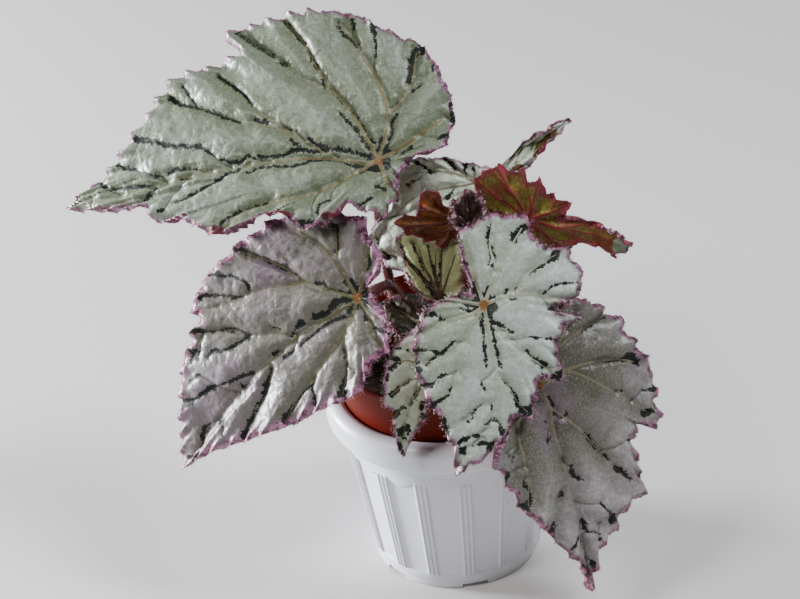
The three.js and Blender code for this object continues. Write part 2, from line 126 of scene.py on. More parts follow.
def mesh_piece(name, points, faces, finishes, face_finish=None, marks=None):
    """A piece from points in mm, faces, its materials, and named values or places per point"""
    mesh = bpy.data.meshes.new(name)
    points = np.asarray(points, float) * MM
    mesh.from_pydata(points.tolist(), [], [list(map(int, face)) for face in faces])
    for finish in finishes:
        mesh.materials.append(finish)
    if face_finish is not None:
        mesh.polygons.foreach_set("material_index", np.asarray(face_finish, np.int32))
    for label, values in (marks or {}).items():
        values = np.asarray(values, np.float32)
        kind, part = ("FLOAT_VECTOR", "vector") if values.ndim == 2 else ("FLOAT", "value")
        layer = mesh.attributes.new(label, kind, "POINT")
        layer.data.foreach_set(part, values.ravel())
    mesh.polygons.foreach_set("use_smooth", np.ones(len(mesh.polygons), bool))
    mesh.update()
    piece = bpy.data.objects.new(name, mesh)
    bpy.context.scene.collection.objects.link(piece)
    return piece


def set_up(piece, slot, *nodes):
    """Makes a piece part of the object: its body and the solids it stands for. Its slot is not used"""
    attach(piece, "root")
    if nodes:
        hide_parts(*nodes)


def grid_faces(rows, columns, first=0):
    """Quads between rows of points, each row closing on itself"""
    faces = []
    for r in range(rows - 1):
        for c in range(columns):
            i, j = first + r * columns + c, first + r * columns + (c + 1) % columns
            faces.append((i, j, j + columns, i + columns))
    return faces


def smooth_curve(points, places, closed=False):
    """Points on a centripetal Catmull-Rom curve, at places counted in control points"""
    points = np.asarray(points, float)
    first = np.floor(places).astype(int)
    if closed:
        p0, p1, p2, p3 = [points[(first + k) % len(points)] for k in (-1, 0, 1, 2)]
    else:
        first = np.minimum(first, len(points) - 2)
        longer = np.vstack([2 * points[0] - points[1], points, 2 * points[-1] - points[-2]])
        p0, p1, p2, p3 = [longer[first + k] for k in (0, 1, 2, 3)]

    def knot(p, q):
        return np.maximum(np.sum((p - q) ** 2, axis=1) ** 0.25, 1e-4)[:, None]

    d0, d1, d2 = knot(p0, p1), knot(p1, p2), knot(p2, p3)
    t1 = ((p1 - p0) / d0 - (p2 - p0) / (d0 + d1) + (p2 - p1) / d1) * d1
    t2 = ((p2 - p1) / d1 - (p3 - p1) / (d1 + d2) + (p3 - p2) / d2) * d1
    w = (places - first)[:, None]
    return p1 + t1 * w + (3 * (p2 - p1) - 2 * t1 - t2) * w ** 2 + (2 * (p1 - p2) + t1 + t2) * w ** 3


def lengths_along(trail):
    """How far along a trail each of its points lies"""
    return np.concatenate([[0], np.cumsum(np.linalg.norm(np.diff(trail, axis=0), axis=1))])


def spread_out(trail, count):
    """Places at even lengths along a trail of points"""
    length = lengths_along(trail)
    wanted = np.linspace(0, length[-1], count)
    return np.stack([np.interp(wanted, length, trail[:, k]) for k in range(trail.shape[1])], 1)


def unit(vectors):
    return vectors / np.maximum(np.linalg.norm(vectors, axis=-1, keepdims=True), 1e-9)


def in_space(flat):
    return np.c_[flat, np.zeros(len(flat))]


def noise_at(points, size, seed):
    """Smooth noise from -1 to 1 at points in mm, with lumps about size mm across"""
    shift = Vector((seed * 17.3, seed * 5.1, seed * 9.7))
    return np.array([noise.noise(Vector(p) / size + shift) for p in points])


def layered(points, layers, seed):
    """Several noises together, each with its height and its size in mm"""
    return sum(high * noise_at(points, size, seed + i) for i, (high, size) in enumerate(layers))


def cell_walls(points, size, seed):
    """0 on the walls between irregular cells about size mm across, 1 well inside them"""
    shift = Vector((seed * 3.7, seed * 11.9, 0))
    near = np.array([noise.voronoi(Vector((p[0], p[1], 0)) / size + shift)[0] for p in points])
    return np.clip((near[:, 1] - near[:, 0]) / 0.45, 0, 1)


def line_distance(points, lines):
    """Distance on the flat blade to the nearest line, less that line's half width there"""
    best = np.full(len(points), FAR)
    for line in lines:
        line = np.asarray(line, float)
        for (a0, b0, w0), (a1, b1, w1) in zip(line[:-1], line[1:]):
            run = np.array([a1 - a0, b1 - b0])
            rel = points - (a0, b0)
            way = np.clip(rel @ run / max(run @ run, 1e-6), 0, 1)
            away = np.hypot(rel[:, 0] - way * run[0], rel[:, 1] - way * run[1])
            best = np.minimum(best, away - (w0 + (w1 - w0) * way))
    return best


# The leaves, with the same surfaces as their solids. Lengths in mm, angles in degrees.
# at: joint of blade and stalk. face: compass (0 = front, 90 = +X) and height of the upper side.
# tip: direction of the tip within that side. bend: turn along the midrib over 100 mm, ahead of
# and behind the joint. fold, cup, roll: as the halves leave the midrib, turn, and turn near
# the tip. edge: outline on the flat blade, [towards the tip, to the left, bow of a main vein].
# stalk: radius, root along the creeping stem and to its left, and the points it passes.
LEAVES = {
    "top_left": dict(
        at=(-29, 2, 275), face=(-16, 50), tip=187, bend=(-12, -14), fold=5, cup=(-12, -10),
        wave=2.0, dome=2.2,
        edge=[[208, 0, -11], [175, 8], [146, 13], [138, 23], [122, 23], [99, 36, 4], [81, 34],
              [65, 28], [54, 29], [43, 39, 0], [29, 36], [17, 27], [7, 31, 0], [1, 34], [-5, 35],
              [-8, 29], [-12, 23, 0], [-11, 15], [-14, 6, 0], [-21, -1], [-37, -5, 0],
              [-43, -18], [-43, -34], [-35, -54, 0], [-25, -70], [-4, -81, -6], [16, -93],
              [32, -98], [56, -98, 0], [78, -96], [97, -89], [87, -78], [101, -73], [131, -66],
              [144, -56, 0], [159, -33], [179, -16]],
        stalk=dict(r=3.2, root=(7, 2), via=[(-30, 23, 190), (-32, 23, 236)])),
    "left": dict(
        at=(-48, -37, 209), face=(-24, 34), tip=-133, bend=(-14, -12), fold=5, cup=(-12, -12),
        wave=1.8, dome=2.0,
        edge=[[164, 0, -4], [148, 5], [129, 11], [112, 18], [90, 27], [73, 33], [56, 37, 3],
              [41, 43], [28, 43], [16, 36, 2], [2, 36], [-6, 26, 0], [-8, 14], [-8, 0],
              [-17, -2, 0], [-26, -7], [-28, -23], [-32, -32, 0], [-24, -43], [-16, -52],
              [-3, -62, 0], [15, -70], [25, -71], [37, -73, 0], [52, -72], [69, -71],
              [89, -64, 2], [87, -57], [94, -53], [117, -44], [134, -26]],
        stalk=dict(r=3, root=(16, -2), via=[(-21, -1, 174), (-30, -9, 198)])),
    "front": dict(
        at=(23, -66, 215), face=(6, 33), tip=253, bend=(-13, -14), fold=4, cup=(-12, -12),
        wave=1.6, dome=1.6,
        edge=[[96, 0, 8], [84, 15], [74, 21], [69, 25], [59, 29], [59, 37], [46, 37], [37, 38],
              [35, 50, 0], [25, 49], [15, 43], [9, 45], [-2, 55, 2], [-3, 38], [-15, 53],
              [-27, 51], [-38, 42], [-39, 25, 0], [-50, 18], [-53, 10], [-51, -2, 0], [-47, -11],
              [-36, -20, 0], [-29, -19], [-17, -13], [-8, -9], [-3, -15, 0], [1, -25], [8, -33],
              [27, -36, 0], [37, -34], [48, -29], [59, -22, 3], [65, -17], [73, -11], [81, -5]],
        stalk=dict(r=2.8, root=(44, -3), via=[(15, -26, 178), (21, -48, 202)])),
    "right_hanging": dict(
        at=(50, -78, 165), face=(26, 24), tip=274, bend=(-14, -12), fold=5, cup=(-14, -14),
        wave=1.8, dome=1.8,
        edge=[[137, 0, 1], [122, 5], [110, 13], [103, 25], [94, 30], [87, 45, 0], [73, 47],
              [58, 48], [47, 51], [54, 64], [32, 71, 3], [13, 71], [-1, 65, 0], [-17, 61],
              [-28, 52, 0], [-36, 43], [-40, 31], [-30, 10, 0], [-11, -7], [-1, -14, 0], [6, -23],
              [18, -34], [28, -44, 0], [33, -42], [50, -37], [62, -34, 2], [80, -24], [92, -18],
              [116, -6]],
        stalk=dict(r=2.8, root=(61, -1.5), via=[(34, -34, 171), (43, -58, 172)])),
    "small_front": dict(
        at=(-9, -58, 193), face=(-8, 28), tip=-104, bend=(-20, -14), fold=8, cup=(-25, -25),
        wave=1.2, dome=1.0,
        edge=[[76, 0, 0], [60, 4], [49, 9], [38, 7], [27, 10, 0], [15, 13], [3, 13, 0], [-8, 8],
              [-7, -1], [-1, -9, 0], [11, -18, 0], [20, -20], [44, -17, 0], [48, -12], [63, -7]],
        stalk=dict(r=2, root=(36, -3.5), via=[(3, -18, 172), (-5, -43, 186)])),
    "back": dict(
        at=(32, 2, 250), face=(-15, 24), tip=43, bend=(4, -10), fold=0, cup=(-8, -12),
        roll=(1400, 15), wave=1.6, dome=1.4,
        edge=[[64, 0, 0], [62, 7], [52, 9], [38, 9], [26, 6], [14, 6], [5, 16], [-6, 30],
              [-19, 41, 0], [-32, 46], [-40, 40], [-48, 34, 0], [-58, 30], [-70, 28],
              [-77, 22, 8], [-77, 15], [-76, 5, 0], [-73, -6], [-71, -15], [-53, -14, 0],
              [-32, -8], [-12, -5], [4, -7, 0], [14, -5], [26, -6], [42, -9], [54, -10],
              [62, -7]],
        stalk=dict(r=2.6, root=(46, 4), via=[(25, 13, 185), (32, 15, 228)])),
    "right_upright": dict(
        at=(54, -18, 240), face=(175, 8), tip=201, bend=(0, 0), fold=0, cup=(8, 8),
        roll=(-2500, 38), wave=1.4, dome=1.4,
        edge=[[63, 0, 0], [61, 6], [54, 8], [45, 7], [36, 9], [26, 15, 0], [17, 25], [6, 31],
              [-6, 26, 0], [-19, 17], [-31, 1, 0], [-38, -18, 0], [-30, -31, 0], [-20, -28],
              [-13, -31], [-8, -25], [-3, -28, 0], [4, -22], [10, -20], [19, -16, 0], [21, -8],
              [35, -9], [45, -7], [55, -8], [61, -5]],
        stalk=dict(r=2.4, root=(55, 3.5), via=[(32, -22, 188), (46, -33, 224)])),
    "young_brown": dict(
        at=(13, -22, 245), face=(-165, 6), tip=9, bend=(8, 6), fold=4, cup=(10, 10),
        wave=1.2, dome=1.0,
        edge=[[36, 0, 0], [34, 7], [26, 6], [25, 13, 0], [24, 19], [19, 22], [13, 20, 0],
              [11, 13], [6, 9, 0], [-3, 5], [-5, -5], [-4, -14, 0], [-2, -21], [8, -18, 0],
              [19, -12], [30, -7]],
        stalk=dict(r=1.8, root=(38, 4), via=[(17, -12, 178), (20, -25, 215), (18, -32, 235)])),
    "young_green": dict(
        at=(-1, -28, 200), face=(-10, 26), tip=103, bend=(4, 4), fold=-2, cup=(8, 8),
        wave=1.0, dome=1.0,
        edge=[[42, 0, 0], [42, 9], [36, 17, 0], [28, 16], [17, 16, 0], [6, 13], [-3, 7], [-5, 1],
              [-6, -8], [0, -15], [14, -19, 0], [26, -21], [34, -17, 0], [40, -10]],
        stalk=dict(r=2, root=(29, -3), via=[(-4, -10, 175), (0, -18, 191)])),
    "bud": dict(
        at=(19, -33, 247), face=(20, 24), tip=-276, bend=(20, 20), fold=10, cup=(60, 60),
        wave=1.4, dome=0.8,
        edge=[[21, 0, 0], [19, 7], [14, 12, 0], [7, 12], [0, 8, 0], [-5, 1], [-2, -6, 0],
              [6, -11], [15, -10, 0], [20, -6]],
        stalk=dict(r=1.6, root=(51, -3.5), via=[(25, -14, 190), (26, -26, 228)])),
    "crown": dict(
        at=(-11, -30, 180), face=(-12, 58), tip=-214, bend=(-12, -6), fold=4, cup=(-25, -25),
        wave=0.8, dome=0.8,
        edge=[[30, 0, 0], [23, 8], [14, 12], [5, 14, 0], [-4, 13], [-7, 4], [-4, -4], [5, -8],
              [14, -8, 0], [23, -6], [28, -4]],
        stalk=dict(r=1.6, root=(23, -4), via=[(-10, -19, 162)])),
}


FINE = 8                             # spokes of a fine blade for each one of its solid
TOOTH_STEP = 9                       # half the spacing of the teeth on a large leaf
FULL_SWELL = 60                      # reach from which waves have their full height


def arc(slope, turn, run):
    """How far an arc has gone ahead and up after a run, from its first slope and its turn per mm"""
    rate = np.where(np.abs(turn) < 1e-6, 1e-6, turn)
    end = slope + rate * run
    return (np.sin(end) - np.sin(slope)) / rate, (np.cos(slope) - np.cos(end)) / rate


class Blade:
    """The surface of one leaf: flat places, in mm towards the tip and to the left, into space"""

    def __init__(self, leaf):
        self.leaf = leaf
        compass, height = map(math.radians, leaf["face"])
        self.normal = np.array([math.sin(compass) * math.cos(height),
                                -math.cos(compass) * math.cos(height), math.sin(height)])
        level = np.cross([0, 0, 1.0], self.normal)
        level /= np.linalg.norm(level)
        uphill = np.cross(self.normal, level)
        turn = math.radians(leaf["tip"])
        self.along = math.cos(turn) * level + math.sin(turn) * uphill
        self.left = math.cos(turn) * uphill - math.sin(turn) * level
        self.joint = np.array(leaf["at"], float)

    def point(self, a, b):
        leaf = self.leaf
        rate, start = leaf.get("roll", (0, 0))
        bend = np.radians(np.where(a >= 0, leaf["bend"][0], leaf["bend"][1])) / 100
        cup = np.radians(np.where(b >= 0, leaf["cup"][0], leaf["cup"][1])) / 100
        cup = cup + math.radians(rate) / 100 * np.maximum(0, a - start) / 50
        run, rise = arc(0.0, bend, a)
        out, lift = arc(math.radians(leaf["fold"]), cup, np.abs(b))
        slope = bend * a
        return (self.joint + (run - np.sin(slope) * lift)[:, None] * self.along
                + (rise + np.cos(slope) * lift)[:, None] * self.normal
                + (np.sign(b) * out)[:, None] * self.left)

    def up(self, a, b):
        step = 0.5
        ahead = self.point(a + step, b) - self.point(a - step, b)
        aside = self.point(a, b + step) - self.point(a, b - step)
        return unit(np.cross(ahead, aside))

    def lifted(self, flat, height):
        """Where flat places lie in space at their heights over the plain blade"""
        a, b = flat[:, 0], flat[:, 1]
        return self.point(a, b) + self.up(a, b) * height[:, None]

    def spokes(self):
        """Runs spokes from the joint to the edge, FINE of them for each one of the solid: their
        ends, the bow of the vein there, their count in the solid's spokes and the length of edge
        passed"""
        edge = self.leaf["edge"]
        points = np.array([p[:2] for p in edge], float)
        veins = [(i, p[2]) for i, p in enumerate(edge) if len(p) > 2]
        step = min(TOOTH_STEP, 1.1 * math.sqrt(np.linalg.norm(points[0])))
        ends, bows, counts, lengths = [], [], [], []
        count, passed = 0, 0.0
        for (start, bow), (stop, next_bow) in zip(veins, veins[1:] + [(len(edge), veins[0][1])]):
            trail = smooth_curve(points, np.linspace(start, stop, 241) % len(edge), closed=True)
            run = lengths_along(trail)
            parts = max(2, 2 * round(run[-1] / step / 2))
            place = np.arange(parts * FINE) / FINE
            way = place / parts
            ends.append(np.stack([np.interp(way * run[-1], run, trail[:, i]) for i in (0, 1)], 1))
            bows.append(bow + (next_bow - bow) * way)
            counts.append(count + place)
            lengths.append(passed + way * run[-1])
            count += parts
            passed += run[-1]
        self.ends, self.bows = np.concatenate(ends), np.concatenate(bows)
        self.counts, self.lengths = np.concatenate(counts), np.concatenate(lengths)
        self.step, self.whole, self.around = step, count, passed
        self.reach = np.linalg.norm(self.ends, axis=1)

    def between(self, values, last, spoke):
        """Values known at each spoke, at places between spokes. The last one ends the round"""
        return np.interp(spoke, np.arange(len(values) + 1), np.append(values, last))

    def spoke_place(self, flat):
        """For flat places: the part of the way to the edge, and which spoke they lie on"""
        turn = np.unwrap(np.arctan2(self.ends[:, 1], self.ends[:, 0]))
        if turn[-1] < turn[0]:
            raise ValueError("the outline has to run round to the left")
        turn = np.maximum.accumulate(turn)
        number = len(turn)
        turn = np.concatenate([turn[-4:] - 2 * math.pi, turn, turn[:4] + 2 * math.pi])
        index = np.arange(-4, number + 4.0)
        angle = np.arctan2(flat[:, 1], flat[:, 0])
        angle = turn[4] + (angle - turn[4]) % (2 * math.pi)
        away = np.linalg.norm(flat, axis=1)
        spoke = np.interp(angle, turn, index)
        for _ in range(4):
            reach = self.between(self.reach, self.reach[0], spoke % number)
            bow = self.between(self.bows, self.bows[0], spoke % number)
            q = np.clip(away / reach, 0, 1)
            spoke = np.interp(angle - np.arctan(bow * 4 * (1 - q) / reach), turn, index)
        return q, spoke % number


# Main veins and their branches, each from the joint or from a larger vein outwards, and the
# black green marks, mostly in the furrows of side veins: [towards the tip, to the left] on the
# flat blade, with half the mark's width there. Where a leaf has no row, its main veins run
# straight to the ends that its outline names.
VEINS = {
    "top_left": [
        [(0, -1), (9, 0), (33, -5), (103, -5), (198, 2)], [(31, -7), (60, -26), (85, -34), (134, -57)],
        [(54, -24), (77, -42), (100, -64)], [(0, -1), (14, -28), (36, -59), (45, -77), (59, -95)],
        [(23, -41), (32, -48), (48, -56), (56, -65), (89, -91)], [(0, -1), (-6, -28), (13, -73), (25, -90)],
        [(-6, -28), (-18, -43), (-22, -67)], [(0, -1), (-14, -8), (-39, -25)],
        [(0, -1), (38, 17), (84, 25), (96, 38)], [(0, -1), (-6, 15)],
    ],
    "left": [
        [(0, 1), (45, -6), (93, -6), (162, 2)], [(43, -6), (52, -16), (69, -27), (74, -36), (92, -50)],
        [(0, 1), (20, -29), (24, -42), (44, -74)], [(21, -28), (46, -43), (68, -50), (85, -58)],
        [(0, 1), (-3, -30), (0, -44), (8, -61)], [(-5, -26), (-16, -41)], [(0, 1), (-23, -17)],
        [(0, 1), (20, 12), (69, 22), (81, 27)], [(0, 1), (1, 14), (5, 22), (5, 32)],
        [(20, 12), (28, 25), (41, 38)], [(67, -6), (70, -2), (90, 8), (111, 15)],
    ],
    "front": [
        [(0, 0), (37, 12), (62, 15), (95, 0)], [(11, 7), (25, 30), (33, 48)],
        [(37, 12), (40, 18), (51, 27), (56, 34)], [(0, 0), (-7, 12), (-9, 20), (-10, 30), (-6, 50)],
        [(0, 0), (-21, 5), (-46, 15)], [(-7, 12), (-11, 17), (-22, 23), (-35, 37)],
        [(0, 0), (-20, 4), (-32, -1), (-50, -2)], [(0, 0), (-33, -17)],
        [(1, 0), (6, -6), (13, -21), (21, -31)], [(0, 0), (23, -8), (41, -9), (67, -14)],
        [(23, -8), (31, -16), (40, -33)], [(0, 0), (0, -25)], [(62, 15), (70, 23)], [(53, 13), (73, -9)],
    ],
    "right_hanging": [
        [(2, 0), (12, 2), (39, 0), (89, 2), (136, -1)], [(15, 3), (38, 18), (61, 28), (79, 41)],
        [(2, 0), (-1, 10), (-1, 19), (22, 43), (43, 61)], [(2, 0), (-2, 11), (0, 34), (7, 55), (12, 63)],
        [(2, 0), (-12, 13), (-17, 23), (-21, 61)], [(-12, 13), (-30, 34)],
        [(2, 0), (7, -12), (15, -20), (52, -25), (63, -29)], [(63, 0), (66, -6), (85, -18)],
        [(75, 1), (94, 12), (96, 23)],
    ],
    "small_front": [
        [(15, -2), (31, 1), (43, -2), (65, -2), (75, 0)], [(26, 0), (28, -5), (39, -14)],
        [(19, -1), (17, -8), (20, -15)], [(38, -1), (41, 7)], [(43, -2), (45, -6), (51, -10)],
        [(49, -2), (50, 3), (47, 7)],
    ],
    "back": [
        [(-11, -8), (-3, 8), (-7, 19), (-14, 27), (-28, 37)], [(-3, 8), (-32, 24), (-50, 25), (-71, 22)],
        [(-4, 12), (-6, 30)], [(-9, 20), (-19, 36)], [(-11, -8), (-27, -3), (-41, 6), (-66, 4), (-73, 10)],
        [(-4, 2), (38, 4), (60, -22)],
    ],
    "young_green": [
        [(0, 0), (23, 13), (35, 15)], [(1, 0), (33, 8)], [(1, 0), (30, 0)], [(1, -1), (26, -8)],
        [(2, -3), (21, -15)], [(-1, 2), (3, 9), (11, 16)], [(16, 4), (29, 5)], [(6, 1), (24, -4)],
    ],
}

